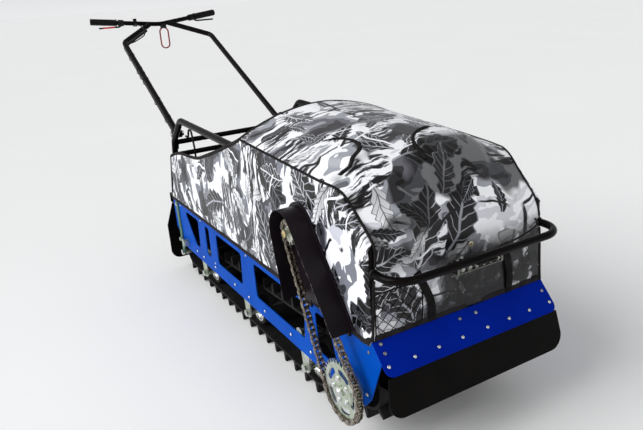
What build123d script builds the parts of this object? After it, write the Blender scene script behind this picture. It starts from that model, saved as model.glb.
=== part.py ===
from build123d import *
from math import acos, atan2, cos, degrees, hypot, pi, sin
import os

# Motorized snow tow. Millimetres, +X forward, +Y to the machine's left, +Z up, ground at Z = 0.
# X is measured from the front top corner of the side panels and moved to mid-length at the end.

# Side panels
BODY_W = 560.0
PANEL_T = 3.0
PANEL_TOP = 353.0
PANEL_BOTTOM = 143.0
PANEL_REAR_X = -1534.0
REAR_STEP_Z = 212.0
REAR_TOE_X = -1415.0
TIP_X = -15.0
TIP_Z = 185.0
HEEL_X = -52.0
WINDOW_TOP = 320.0
WINDOW_BOTTOM = 198.0
WINDOW_R = 14.0
PANEL_R = 9.0
# top rear x, top front x, bottom front x, bottom rear x
WINDOWS = (
    (-1391.0, -1226.0, -1238.0, -1283.0),
    (-1150.0, -1106.0, -1112.0, -1156.0),
    (-1031.0, -794.0, -806.0, -1036.0),
    (-690.0, -340.0, -352.0, -686.0),
    (-280.0, -208.0, -168.0, -268.0),
)

# Front apron and rubber flaps
APRON_REACH = 62.0
APRON_DROP = 67.0
APRON_T = 3.0
APRON_CORNER_R = 22.0
FLAP_T = 5.0
FLAP_LAP = 26.0
FLAP_LENGTH = 106.0
FLAP_OVERHANG = 12.0
FLAP_TOP_INSET = 3.0
FLAP_SWEEP = 20.0
FLAP_CORNER_R = 40.0
NOSE_SHARE = 0.6
CROSSMEMBER_D = 50.0
CROSSMEMBER_H = 40.0
CROSSMEMBER_WALL = 3.0
REAR_FLAP_OVERHANG = 30.0
REAR_FLAP_INSET = 6.0
REAR_FLAP_NECK_Z = 306.0
REAR_FLAP_SHOULDER_Z = 205.0
REAR_FLAP_BOTTOM = 42.0
REAR_FLAP_LAP = 34.0

# Deck, hitch and engine
DECK_T = 3.0
DECK_DROP = 3.0
HITCH_W = 70.0
HITCH_T = 8.0
HITCH_REACH = 92.0
HITCH_LAP = 46.0
HITCH_PIN_D = 16.5
HITCH_EDGE = 24.0
HITCH_FLAT = 4.0
ENGINE_L = 320.0
ENGINE_W = 380.0
ENGINE_H = 330.0
ENGINE_Y = 10.0

# Track
TRACK_GAP = 30.0
BELT_T = 8.0
LUG_H = 30.0
LUG_BASE = 18.0
LUG_TIP = 9.0
LUG_COUNT = 46
MIDDLE_BAND = 184.0
SEAT = 0.3
DRUM_X = -90.0
DRUM_Z = 187.0
DRUM_R = 68.0
DRUM_NOTCHES = 9
DRUM_NOTCH_R = 13.0
IDLER_X = -1470.0
IDLER_Z = 108.0
IDLER_R = 62.0
WHEEL_R = 56.0
WHEEL_X = (-1223.0, -793.0, -367.0)

# Wheels, axles and hangers
WHEEL_W = 34.0
WHEEL_INSET = 28.0
TYRE_T = 13.0
TYRE_SHOULDER = 4.0
RIM_T = 5.0
RIM_DISH = 7.0
HUB_R = 20.0
AXLE_R = 8.0
SLEEVE_R = 12.0
NUT_R = 13.0
NUT_T = 10.0
HANGER_T = 5.0
HANGER_W = 62.0
HANGER_LAP = 34.0
HANGER_END_R = 18.0
CARRIER_X = -394.0
CARRIER_R = 40.0
CARRIER_W = 30.0
CARRIER_LAP = 28.0
IDLER_W = 40.0
IDLER_INSET = 100.0
DRUM_W = 46.0
DRUM_INSET = 120.0
SHAFT_R = 12.5
BEARING_R = 42.0
BEARING_T = 12.0

# Track tensioners
ARM_STRIP_W = 30.0
ARM_STRIP_T = 5.0
ARM_TOP_X = -1482.0
TENSION_Z = 176.0
TENSION_LUG_X = -1404.0
TENSION_LUG_L = 14.0
TENSION_LUG_H = 30.0
TENSION_LUG_D = 24.0
TENSION_BOLT_R = 6.0
TENSION_NUT_R = 11.0
TENSION_NUT_T = 10.0
TENSION_GAP = 1.0

# Chain drive
CHAIN_PITCH = 15.875
CHAIN_LINKS = 76
CHAIN_ROLLER_R = 5.0
ROLLER_HALF = 4.5
PLATE_T = 2.0
PLATE_H = 14.0
BIG_TEETH = 32
SMALL_TEETH = 12
SPROCKET_T = 6.0
TOOTH_H = 4.2
TOOTH_ROOT = 2.7
TOOTH_TIP = 1.1
CHAIN_OUT = 38.0
CHAIN_LEAN_X = -220.0
CHAIN_LEAN_Z = 357.0
BIG_HUB_R = 27.0
BIG_WINDOWS = 5
BIG_WINDOW_R = 54.0
BIG_WINDOW_SPAN = 34.0
BIG_WINDOW_W = 17.0
BOLT_CIRCLE_R = 33.0
BOLT_R = 5.5
BOLT_H = 5.0
SMALL_HUB_R = 13.0
SMALL_NUT_R = 11.0
SMALL_NUT_T = 9.0
OUTPUT_R = 9.0
OUTPUT_HOLE_R = 14.0

# Chain guard
GUARD_R = 66.0
GUARD_T = 2.5
GUARD_LIP_OUT = 27.0
GUARD_FOOT_REAR_X = -330.0
GUARD_FOOT_FRONT_X = -76.0
GUARD_FLANGE = 10.0
GUARD_TAB_W = 30.0
GUARD_TAB_H = 22.0

# Fabric cover
FABRIC_T = 3.0
HEM_LAP = 12.0
FRONT_HEM_RISE = 2.5
COVER_REAR_TOP = (-1426.0, 550.0)
COVER_WAIST = (-1120.0, 598.0)
COVER_R = 40.0
COVER_CORNER_R = 18.0
# station x, seam height, crown rise
COVER_STATIONS = (
    (-683.0, 737.0, 74.0),
    (-314.0, 716.0, 70.0),
    (-122.0, 702.0, 48.0),
    (0.5, 587.0, 14.0),
)

# Tubular frame, bumper and lamp
TUBE_R = 12.5
RAIL_BEND = 45.0
RAIL_FOOT_X = -1508.0
RAIL_KNEE_X = -1440.0
RAIL_KNEE_Z = 610.0
RAIL_TOP_X = -1322.0
RAIL_DROP = 31.0
RAIL_FRONT_X = -118.0
RAIL_FRONT_DROP = 27.0
POST_X = -16.0
POST_SHOULDER_DROP = 8.0
CROSS_Z = (600.0, 545.0)
BUMPER_R = 10.0
BUMPER_X = 81.0
BUMPER_Z = 527.0
BUMPER_BEND = 62.0
LEG_CLEAR = 3.0
LAMP_L = 146.0
LAMP_D = 32.0
LAMP_H = 24.0
LAMP_R = 5.0
FIN_COUNT = 8
FIN_SLOT = 9.0
FIN_DEPTH = 12.0
LAMP_BRACKET_L = 60.0
LAMP_BRACKET_W = 16.0
LAMP_BRACKET_T = 4.0
LAMP_BRACKET_SEAT = 1.0
LAMP_X = 46.0
LENS_COUNT = 6
LENS_PITCH = 22.5
LENS_R = 9.0
LENS_RECESS = 8.0
LENS_T = 4.0
STRAP_W = 24.0
STRAP_T = 2.5
STRAP_TOP_Z = 500.0
# middle y at the top, at the hem
STRAPS = (
    (-149.0, -102.0),
    (136.0, 155.0),
)

# Folding handle
PIVOT_X = -1488.0
PIVOT_Z = 625.0
ARM_R = 12.5
ARM_CLEAR = 6.0
ARM_BEND_X = -2194.0
ARM_BEND_IN = 6.2
ARM_BEND_Z = 976.0
ARM_BEND_R = 45.0
BAR_R = 11.0
BAR_X = -2326.0
BAR_Z = 1046.0
BAR_MEET = 47.0
BAR_END_X = -2396.0
BAR_END_Y = 330.0
BAR_END_Z = 1082.0
BAR_BEND_R = 120.0
PIN_R = 6.0
PIN_CLEAR = 0.05
BUSH_R = 17.0
BUSH_HALF = 16.0
BRACKET_T = 6.0
BRACKET_R = 20.0
BRACKET_TAIL = 45.0
WASHER_GAP = 1.0
PIN_HEAD_R = 11.0
PIN_HEAD_T = 7.0
GRIP_R = 16.0
GRIP_L = 125.0
GRIP_CAP = 4.0
PERCH_L = 28.0
PERCH_R = 16.0
PERCH_GAP = 6.0
LEVER_R = 4.0
LEVER_ROOT = 14.0
LEVER_REACH = 20.0
LEVER_DROP = 18.0
LEVER_OUT = 105.0
LEVER_FLARE = 6.0
LEVER_TIP_DROP = 11.0
LEVER_BEND = 12.0
SWITCH_R = 9.0
SWITCH_H = 24.0
SWITCH_OUT = 122.0
SWITCH_CLAMP_R = 15.0
TETHER_OUT = 20.0
TETHER_W = 26.0
TETHER_H = 24.0
RING_L = 110.0
RING_W = 50.0
RING_R = 3.0
RING_CLEAR = 0.5
BUNDLE_R = 8.0
BUNDLE_START = 70.0
BUNDLE_STOP = 40.0
CABLE_R = 4.0
CABLE_TAIL = 16.0
CABLE_RISE = 34.0
CABLE_BEND = 12.0
CROSS_STEP = 2.0

half_w = BODY_W / 2
panel_in = half_w - PANEL_T
ground_run_z = LUG_H + BELT_T
wheel_z = ground_run_z + WHEEL_R
deck_top = PANEL_TOP - DECK_DROP
cover_in = half_w + SEAT
cover_out = cover_in + FABRIC_T
hem_z = PANEL_TOP - HEM_LAP
front_hem_z = PANEL_TOP + FRONT_HEM_RISE
cover_front_x = COVER_STATIONS[-1][0]
cover_corner_x = cover_front_x - COVER_CORNER_R
leg_y = panel_in - SEAT - TUBE_R
arm_y = leg_y - TUBE_R - ARM_CLEAR - ARM_R
arm_bend_y = arm_y - ARM_BEND_IN
track_half = half_w - TRACK_GAP
wheel_y = track_half - WHEEL_INSET
idler_y = track_half - IDLER_INSET
drum_y = track_half - DRUM_INSET
chain_y = -half_w - CHAIN_OUT
rail_z = COVER_STATIONS[0][1] - RAIL_DROP
rail_front_z = COVER_STATIONS[2][1] - RAIL_FRONT_DROP
shoulder_z = COVER_STATIONS[3][1] - POST_SHOULDER_DROP
nodes = {}


def slab(sketch, y0, y1):
    """Solid with an X-Z outline between two Y planes."""
    return extrude(Plane.XZ.offset(-y0) * sketch, y0 - y1)


def outline(*points):
    """Closed outline through corners given either way round."""
    turn = sum(a[0] * b[1] - b[0] * a[1] for a, b in zip(points, points[1:] + points[:1]))
    return Polygon(*(points if turn > 0 else points[::-1]), align=None)


def rod(radius, x, z, y0, y1):
    """Round bar across the machine."""
    return slab(Pos(x, z) * Circle(radius), y0, y1)


def hexagon(radius, x, z, y0, y1):
    return slab(Pos(x, z) * RegularPolygon(radius, 6), y0, y1)


def turned(x, y, z, *corners):
    """Solid turned about a cross axis from corners (step along the axis, radius)."""
    return revolve(Pos(x, y, z) * (Plane.YZ * outline(*corners)), axis=Axis((x, y, z), (0, 1, 0)))


def tube(points, radius, bend):
    """Round tube along straight runs with tangent bends."""
    path = FilletPolyline(*points, radius=bend) if len(points) > 2 else Line(*points)
    section = Plane(origin=path @ 0, z_dir=path % 0) * Circle(radius)
    return sweep(section, path=path)


def pair(shape):
    """A piece and its mirror image on the other side of the machine."""
    return Compound(list(shape.solids()) + list(mirror(shape, about=Plane.XZ).solids()))


def loop_normals(circles):
    """Outward angle of each straight run of a belt round circles (x, z, r) in turning order."""
    angles = []
    for (x0, z0, r0), (x1, z1, r1) in zip(circles, circles[1:] + circles[:1]):
        run = hypot(x1 - x0, z1 - z0)
        angles.append(atan2(z1 - z0, x1 - x0) - acos((r0 - r1) / run))
    return angles


def loop_runs(circles):
    """Runs of the loop as (kind, length, data), each straight run followed by its arc."""
    angles = loop_normals(circles)
    runs = []
    count = len(circles)
    for i in range(count):
        x0, z0, r0 = circles[i]
        x1, z1, r1 = circles[(i + 1) % count]
        a = angles[i]
        p = (x0 + r0 * cos(a), z0 + r0 * sin(a))
        q = (x1 + r1 * cos(a), z1 + r1 * sin(a))
        runs.append(("line", hypot(q[0] - p[0], q[1] - p[1]), (p, q, a)))
        sweep_angle = (angles[(i + 1) % count] - a) % (2 * pi)
        runs.append(("arc", r1 * sweep_angle, ((x1, z1, r1), a, sweep_angle)))
    return runs


def loop_length(circles):
    return sum(run[1] for run in loop_runs(circles))


def loop_at(runs, distance):
    """Point and outward angle at a distance along the loop."""
    for kind, length, data in runs:
        if distance <= length:
            share = distance / length
            if kind == "line":
                p, q, a = data
                return (p[0] + share * (q[0] - p[0]), p[1] + share * (q[1] - p[1])), a
            (x, z, r), a0, turn = data
            a = a0 + share * turn
            return (x + r * cos(a), z + r * sin(a)), a
        distance -= length
    return loop_at(runs, distance)


def loop_face(circles):
    edges = []
    for kind, length, data in loop_runs(circles):
        if kind == "line":
            edges.append(Line(data[0], data[1]))
        else:
            (x, z, r), a0, turn = data
            edges.append(CenterArc((x, z), r, degrees(a0), degrees(turn)))
    return make_face(Curve() + edges)


def grown(circles, step):
    return [(x, z, r + step) for x, z, r in circles]


# Side panels: the front edge follows the apron, then cuts back to the tip.
nose = (NOSE_SHARE * APRON_REACH, PANEL_TOP - NOSE_SHARE * APRON_DROP)
panel_face = outline(
    (PANEL_REAR_X, PANEL_TOP),
    (PANEL_REAR_X, REAR_STEP_Z),
    (REAR_TOE_X, PANEL_BOTTOM),
    (HEEL_X, PANEL_BOTTOM),
    (TIP_X, TIP_Z),
    nose,
    (0.0, PANEL_TOP),
)
panel_face = fillet(panel_face.vertices().sort_by(Axis.Y)[:4], PANEL_R)
for top_rear, top_front, low_front, low_rear in WINDOWS:
    window = outline(
        (top_rear, WINDOW_TOP),
        (low_rear, WINDOW_BOTTOM),
        (low_front, WINDOW_BOTTOM),
        (top_front, WINDOW_TOP),
    )
    panel_face -= fillet(window.vertices(), WINDOW_R)
panel_face -= Pos(DRUM_X, DRUM_Z) * Circle(SHAFT_R + SEAT)
nodes["side_panel_right"] = slab(panel_face, -half_w, -panel_in)
nodes["side_panel_left"] = slab(panel_face, panel_in, half_w)

# Front apron, its rubber flap, the rear crossmember with the hitch and the rear flap
apron_len = hypot(APRON_REACH, APRON_DROP)
apron_plane = Plane(
    origin=(0, 0, PANEL_TOP),
    x_dir=(0, 1, 0),
    z_dir=(APRON_DROP / apron_len, 0, APRON_REACH / apron_len),
)
apron = Pos(0, -apron_len / 2) * Rectangle(BODY_W, apron_len)
apron = fillet(apron.vertices().group_by(Axis.Y)[0], APRON_CORNER_R)
nodes["front_apron"] = extrude(apron_plane * apron, APRON_T)
flap = outline(
    (-half_w + FLAP_TOP_INSET, 0),
    (-half_w - FLAP_OVERHANG, -FLAP_LENGTH),
    (half_w + FLAP_OVERHANG, -FLAP_LENGTH),
    (half_w - FLAP_TOP_INSET, 0),
)
flap = fillet(flap.vertices().group_by(Axis.Y)[0], FLAP_CORNER_R)
lap = Pos(0, -apron_len + FLAP_LAP / 2) * Rectangle(BODY_W - 2 * APRON_CORNER_R, FLAP_LAP)
apron_foot = apron_plane.from_local_coords((0, -apron_len, 0))
flap_plane = Plane(origin=apron_foot, x_dir=(0, 1, 0), z_dir=(FLAP_LENGTH, 0, FLAP_SWEEP))
nodes["front_flap"] = extrude(apron_plane * lap, -FLAP_T) + extrude(flap_plane * flap, -FLAP_T)
cross_top = PANEL_TOP
cross_rear_x = PANEL_REAR_X - CROSSMEMBER_D
cross_mid = Pos(PANEL_REAR_X - CROSSMEMBER_D / 2, cross_top - CROSSMEMBER_H / 2)
cross_room = Rectangle(CROSSMEMBER_D - 2 * CROSSMEMBER_WALL, CROSSMEMBER_H - 2 * CROSSMEMBER_WALL)
cross_wall = cross_mid * (Rectangle(CROSSMEMBER_D, CROSSMEMBER_H) - cross_room)
nodes["rear_crossmember"] = slab(cross_wall, -half_w, half_w)
rear_flap_top = cross_top - CROSSMEMBER_H + REAR_FLAP_LAP
rear_neck = half_w - REAR_FLAP_INSET
rear_shoulder = half_w + REAR_FLAP_OVERHANG
rear_flap = outline(
    (-rear_neck, rear_flap_top),
    (-rear_neck, REAR_FLAP_NECK_Z),
    (-rear_shoulder, REAR_FLAP_SHOULDER_Z),
    (-rear_shoulder, REAR_FLAP_BOTTOM),
    (rear_shoulder, REAR_FLAP_BOTTOM),
    (rear_shoulder, REAR_FLAP_SHOULDER_Z),
    (rear_neck, REAR_FLAP_NECK_Z),
    (rear_neck, rear_flap_top),
)
rear_flap = fillet(rear_flap.vertices().group_by(Axis.Y)[0], FLAP_CORNER_R)
nodes["rear_flap"] = extrude(Plane.YZ.offset(cross_rear_x) * rear_flap, -FLAP_T)
hitch_l = HITCH_REACH + HITCH_LAP
hitch = Pos(cross_rear_x - HITCH_REACH + hitch_l / 2, 0) * Rectangle(hitch_l, HITCH_W)
hitch = fillet(hitch.vertices().group_by(Axis.X)[0], (HITCH_W - HITCH_FLAT) / 2)
hitch -= Pos(cross_rear_x - HITCH_REACH + HITCH_EDGE, 0) * Circle(HITCH_PIN_D / 2)
nodes["tow_hitch"] = extrude(Plane.XY.offset(cross_top) * hitch, HITCH_T)

# Deck between the panels
nodes["deck"] = slab(
    outline(
        (PANEL_REAR_X, deck_top - DECK_T),
        (0.0, deck_top - DECK_T),
        (0.0, deck_top),
        (PANEL_REAR_X, deck_top),
    ),
    -panel_in,
    panel_in,
)

# Track: belt round the drum, the idler and the end road wheels, with staggered lugs
track_circles = [
    (DRUM_X, DRUM_Z, DRUM_R),
    (IDLER_X, IDLER_Z, IDLER_R),
    (WHEEL_X[0], wheel_z, WHEEL_R),
    (WHEEL_X[-1], wheel_z, WHEEL_R),
]
outer_circles = grown(track_circles, BELT_T)
belt_face = loop_face(outer_circles) - loop_face(track_circles)
outer_runs = loop_runs(outer_circles)
lug_step = loop_length(outer_circles) / LUG_COUNT


def lugged(shift):
    """Belt outline with a row of lugs moved along by a share of the lug pitch."""
    face = belt_face
    for k in range(LUG_COUNT):
        (x, z), a = loop_at(outer_runs, (k + shift) * lug_step)
        lug = outline(
            (-BELT_T / 2, -LUG_BASE / 2),
            (LUG_H, -LUG_TIP / 2),
            (LUG_H, LUG_TIP / 2),
            (-BELT_T / 2, LUG_BASE / 2),
        )
        face += Pos(x, z) * Rot(0, 0, degrees(a)) * lug
    return face


band_half = MIDDLE_BAND / 2
side_face = lugged(0.5)
nodes["track"] = (
    slab(lugged(0.0), -band_half, band_half)
    + slab(side_face, -track_half, -band_half)
    + slab(side_face, band_half, track_half)
)

# Drive shaft with notched drums, and its bearings on the panels
drum_face = Circle(DRUM_R - SEAT) - PolarLocations(DRUM_R, DRUM_NOTCHES) * Circle(DRUM_NOTCH_R)
drum_face = Pos(DRUM_X, DRUM_Z) * drum_face
shaft_end = chain_y - SPROCKET_T / 2 - BOLT_H
drive = rod(SHAFT_R, DRUM_X, DRUM_Z, shaft_end, half_w + BEARING_T)
for side in (-1, 1):
    drive += slab(drum_face, side * drum_y - DRUM_W / 2, side * drum_y + DRUM_W / 2)
nodes["drive_shaft"] = drive
bearing_face = Pos(DRUM_X, DRUM_Z) * (Circle(BEARING_R) - Circle(SHAFT_R + SEAT))
nodes["drive_bearings"] = pair(slab(bearing_face, half_w, half_w + BEARING_T))

# Road wheels, idlers and the carrier rollers: dished rims, tyres, axles and hangers
def rim(radius, width, bore, x, z, y):
    """Wheel with a dished web between its rim and its hub, centred at y."""
    half = width / 2
    inner = radius - RIM_T
    return turned(
        x,
        y,
        z,
        (-half, radius),
        (half, radius),
        (half, inner),
        (RIM_DISH + RIM_T / 2, inner),
        (-RIM_DISH + RIM_T / 2, HUB_R),
        (half, HUB_R),
        (half, bore),
        (-half, bore),
        (-half, HUB_R),
        (-RIM_DISH - RIM_T / 2, HUB_R),
        (RIM_DISH - RIM_T / 2, inner),
        (-half, inner),
    )


def tyre(radius, inner, width, x, z, y):
    """Solid rubber ring with bevelled shoulders, centred at y."""
    half = width / 2
    return turned(
        x,
        y,
        z,
        (-half, inner),
        (half, inner),
        (half, radius - TYRE_SHOULDER),
        (half - TYRE_SHOULDER, radius),
        (TYRE_SHOULDER - half, radius),
        (-half, radius - TYRE_SHOULDER),
    )


rims = []
tyres = []
axles = []
hangers = []
for wheel_x in WHEEL_X:
    rims.append(rim(WHEEL_R - TYRE_T, WHEEL_W, AXLE_R + SEAT, wheel_x, wheel_z, wheel_y))
    tyres.append(tyre(WHEEL_R - SEAT, WHEEL_R - TYRE_T, WHEEL_W, wheel_x, wheel_z, wheel_y))
    hanger = outline(
        (wheel_x - HANGER_W / 2, PANEL_BOTTOM + HANGER_LAP),
        (wheel_x + HANGER_W / 2, PANEL_BOTTOM + HANGER_LAP),
        (wheel_x + HANGER_END_R, wheel_z),
        (wheel_x - HANGER_END_R, wheel_z),
    )
    hanger += Pos(wheel_x, wheel_z) * Circle(HANGER_END_R)
    hanger -= Pos(wheel_x, wheel_z) * Circle(AXLE_R + SEAT)
    hangers.append(slab(hanger, panel_in - HANGER_T, panel_in))
    axle = rod(AXLE_R, wheel_x, wheel_z, -panel_in - NUT_T, panel_in + NUT_T)
    for side in (-1, 1):
        ends = sorted((side * (wheel_y + WHEEL_W / 2), side * (panel_in - HANGER_T)))
        axle += rod(SLEEVE_R, wheel_x, wheel_z, *ends)
        ends = sorted((side * panel_in, side * (panel_in + NUT_T)))
        axle += hexagon(NUT_R, wheel_x, wheel_z, *ends)
    axles.append(axle)

run_angle = loop_normals(track_circles)[0]
run_share = (CARRIER_X - DRUM_X) / (IDLER_X - DRUM_X)
carrier_drop = (CARRIER_R + SEAT) / sin(run_angle)
run_top_z = DRUM_Z + DRUM_R * sin(run_angle)
run_low_z = IDLER_Z + IDLER_R * sin(run_angle)
carrier_z = run_top_z + run_share * (run_low_z - run_top_z) - carrier_drop
rims.append(rim(CARRIER_R, CARRIER_W, AXLE_R + SEAT, CARRIER_X, carrier_z, wheel_y))
carrier_hanger = outline(
    (CARRIER_X - HANGER_END_R, PANEL_BOTTOM + CARRIER_LAP),
    (CARRIER_X + HANGER_END_R, PANEL_BOTTOM + CARRIER_LAP),
    (CARRIER_X + HANGER_END_R, carrier_z),
    (CARRIER_X - HANGER_END_R, carrier_z),
)
carrier_hanger += Pos(CARRIER_X, carrier_z) * Circle(HANGER_END_R)
carrier_hanger -= Pos(CARRIER_X, carrier_z) * Circle(AXLE_R + SEAT)
carrier_axle = rod(AXLE_R, CARRIER_X, carrier_z, -panel_in, panel_in)
for side in (-1, 1):
    ends = sorted((side * (wheel_y + CARRIER_W / 2), side * (panel_in - HANGER_T)))
    carrier_axle += rod(SLEEVE_R, CARRIER_X, carrier_z, *ends)
axles.append(carrier_axle)
hangers.append(slab(carrier_hanger, panel_in - HANGER_T, panel_in))
nodes["wheel_rims"] = pair(Compound([s for r in rims for s in r.solids()]))
nodes["wheel_tyres"] = pair(Compound([s for t in tyres for s in t.solids()]))
nodes["wheel_axles"] = Compound([s for a in axles for s in a.solids()])
nodes["wheel_hangers"] = pair(Compound([s for h in hangers for s in h.solids()]))

# Rear idler on its axle, hung from strips on the panels with a tension bolt each
strip_out = half_w + ARM_STRIP_T
idler = rod(AXLE_R, IDLER_X, IDLER_Z, -strip_out - NUT_T, strip_out + NUT_T)
for side in (-1, 1):
    idler += rim(IDLER_R - SEAT, IDLER_W, AXLE_R / 2, IDLER_X, IDLER_Z, side * idler_y)
    ends = sorted((side * (idler_y + IDLER_W / 2), side * half_w))
    idler += rod(SLEEVE_R, IDLER_X, IDLER_Z, *ends)
    ends = sorted((side * strip_out, side * (strip_out + NUT_T)))
    idler += hexagon(NUT_R, IDLER_X, IDLER_Z, *ends)
nodes["rear_idler"] = idler
strip_top_z = hem_z - SEAT - ARM_STRIP_W / 2
strip_line = Line((ARM_TOP_X, strip_top_z), (IDLER_X, IDLER_Z))
strip = SlotCenterToCenter(strip_line.length, ARM_STRIP_W)
strip_mid = strip_line @ 0.5
strip_turn = degrees(atan2(strip_top_z - IDLER_Z, ARM_TOP_X - IDLER_X))
strip = Pos(strip_mid.X, strip_mid.Y) * Rot(0, 0, strip_turn) * strip
strip -= Pos(IDLER_X, IDLER_Z) * Circle(AXLE_R + SEAT)
nodes["tensioner_strips"] = pair(slab(strip, half_w, strip_out))
strip_share = (TENSION_Z - IDLER_Z) / (strip_top_z - IDLER_Z)
strip_front_x = IDLER_X + strip_share * (ARM_TOP_X - IDLER_X) + ARM_STRIP_W / 2
bolt_y = half_w + TENSION_LUG_D / 2
bolt_plane = Plane(origin=(TENSION_LUG_X, bolt_y, TENSION_Z), z_dir=(1, 0, 0))
bolt_len = TENSION_LUG_X - strip_front_x - TENSION_GAP
lug_block = Pos(TENSION_LUG_X + TENSION_LUG_L / 2, bolt_y, TENSION_Z)
lug_block = lug_block * Box(TENSION_LUG_L, TENSION_LUG_D, TENSION_LUG_H)
lug_block += extrude(bolt_plane * Circle(TENSION_BOLT_R), -bolt_len)
lug_block += extrude(bolt_plane.offset(-bolt_len) * RegularPolygon(TENSION_NUT_R, 6), TENSION_NUT_T)
lug_block += extrude(bolt_plane.offset(TENSION_LUG_L) * RegularPolygon(TENSION_NUT_R, 6), TENSION_NUT_T)
nodes["tension_bolts"] = pair(lug_block)

# Chain drive: centre distance follows from the whole number of links
big_r = CHAIN_PITCH * BIG_TEETH / (2 * pi)
small_r = CHAIN_PITCH * SMALL_TEETH / (2 * pi)
lean = atan2(CHAIN_LEAN_Z, CHAIN_LEAN_X)
centres = CHAIN_LINKS * CHAIN_PITCH / 3


def chain_circles(distance):
    top = (DRUM_X + distance * cos(lean), DRUM_Z + distance * sin(lean), small_r)
    return [(DRUM_X, DRUM_Z, big_r), top]


for step in range(40):
    centres += (CHAIN_LINKS * CHAIN_PITCH - loop_length(chain_circles(centres))) / 2
chain_loop = chain_circles(centres)
chain_runs = loop_runs(chain_loop)
small_x, small_z = chain_loop[1][:2]
rollers = [loop_at(chain_runs, k * CHAIN_PITCH)[0] for k in range(CHAIN_LINKS)]


def link_plate(k, *corners):
    """Plate outline about the middle of link k, from corners beyond its pins (step out, half height)."""
    (x0, z0), (x1, z1) = rollers[k], rollers[(k + 1) % CHAIN_LINKS]
    half = hypot(x1 - x0, z1 - z0) / 2
    upper = [(half + out, height) for out, height in corners]
    upper += [(-x, z) for x, z in reversed(upper)]
    lower = [(x, -z) for x, z in reversed(upper) if z]
    turn = degrees(atan2(z1 - z0, x1 - x0))
    return Pos((x0 + x1) / 2, (z0 + z1) / 2) * Rot(0, 0, turn) * outline(*upper, *lower)


pointed = ((PLATE_H / 2, 0.0), (0.0, PLATE_H / 2))
square = ((CHAIN_ROLLER_R, PLATE_H / 2),)
outer_plates = Sketch() + [link_plate(k, *pointed) for k in range(0, CHAIN_LINKS, 2)]
inner_plates = Sketch() + [link_plate(k, *square) for k in range(1, CHAIN_LINKS, 2)]
roller_face = Sketch() + [Pos(x, z) * RegularPolygon(CHAIN_ROLLER_R, 6) for x, z in rollers]
chain = slab(roller_face, chain_y - ROLLER_HALF, chain_y + ROLLER_HALF)
for side in (-1, 1):
    near = chain_y + side * ROLLER_HALF
    far = near + side * PLATE_T
    chain += slab(inner_plates, *sorted((near, far)))
    chain += slab(outer_plates, *sorted((far, far + side * PLATE_T)))
nodes["drive_chain"] = chain


def sprocket(teeth, x, z, phase):
    """Toothed disc whose teeth stand between rollers on the pitch circle."""
    pitch_r = CHAIN_PITCH * teeth / (2 * pi)
    root_r = pitch_r - CHAIN_ROLLER_R - SEAT
    tip_r = pitch_r + TOOTH_H
    points = []
    for k in range(teeth):
        a = phase + (k + 0.5) * 2 * pi / teeth
        for r, w in ((root_r, -TOOTH_ROOT), (tip_r, -TOOTH_TIP), (tip_r, TOOTH_TIP), (root_r, TOOTH_ROOT)):
            points.append((x + r * cos(a + w / r), z + r * sin(a + w / r)))
    return outline(*points)


def first_roller_angle(x, z, pitch_r):
    """Angle of a roller that lies on the pitch circle about (x, z)."""
    on_circle = [p for p in rollers if abs(hypot(p[0] - x, p[1] - z) - pitch_r) < SEAT / 10]
    return atan2(on_circle[1][1] - z, on_circle[1][0] - x)


disc_y = (chain_y - SPROCKET_T / 2, chain_y + SPROCKET_T / 2)
big_face = sprocket(BIG_TEETH, DRUM_X, DRUM_Z, first_roller_angle(DRUM_X, DRUM_Z, big_r))
for turn in range(BIG_WINDOWS):
    start = turn * 360 / BIG_WINDOWS - BIG_WINDOW_SPAN / 2
    slot = SlotArc(CenterArc((0, 0), BIG_WINDOW_R, start, BIG_WINDOW_SPAN), BIG_WINDOW_W)
    big_face -= Pos(DRUM_X, DRUM_Z) * slot
big_face -= Pos(DRUM_X, DRUM_Z) * Circle(SHAFT_R + SEAT)
big = slab(big_face, *disc_y)
hub_face = Pos(DRUM_X, DRUM_Z) * (Circle(BIG_HUB_R) - Circle(SHAFT_R + SEAT))
big += slab(hub_face, disc_y[1], -half_w - BEARING_T)
for turn in range(BIG_WINDOWS):
    a = (turn + 0.5) * 2 * pi / BIG_WINDOWS
    x = DRUM_X + BOLT_CIRCLE_R * cos(a)
    z = DRUM_Z + BOLT_CIRCLE_R * sin(a)
    big += hexagon(BOLT_R, x, z, disc_y[0] - BOLT_H, disc_y[0])
nodes["drive_sprocket"] = big
small_face = sprocket(SMALL_TEETH, small_x, small_z, first_roller_angle(small_x, small_z, small_r))
small = slab(small_face, *disc_y)
nut_y = disc_y[0] - SMALL_NUT_T / 2
small += rod(SMALL_HUB_R, small_x, small_z, nut_y, disc_y[0])
small += hexagon(SMALL_NUT_R, small_x, small_z, nut_y - SMALL_NUT_T, nut_y)
engine_side = ENGINE_Y - ENGINE_W / 2
small += rod(OUTPUT_R, small_x, small_z, disc_y[1], engine_side)
nodes["small_sprocket"] = small
nodes["engine"] = Pos(small_x, ENGINE_Y, deck_top + ENGINE_H / 2) * Box(ENGINE_L, ENGINE_W, ENGINE_H)

# Chain guard: back plate with a flange, and a band standing out round the chain
guard_feet = ((GUARD_FOOT_REAR_X, PANEL_TOP), (GUARD_FOOT_FRONT_X, PANEL_TOP))


def guard_face(step):
    """Teardrop outline of the guard, grown by a step and cut off level with the panel's top."""
    circles = [(small_x, small_z, GUARD_R + step)] + [(x, z, GUARD_T + step) for x, z in guard_feet]
    foot_w = GUARD_FOOT_FRONT_X - GUARD_FOOT_REAR_X
    foot_mid = (GUARD_FOOT_FRONT_X + GUARD_FOOT_REAR_X) / 2
    below = Pos(foot_mid, PANEL_TOP - GUARD_R) * Rectangle(foot_w + 4 * GUARD_R, 2 * GUARD_R)
    return loop_face(circles) - below


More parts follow.
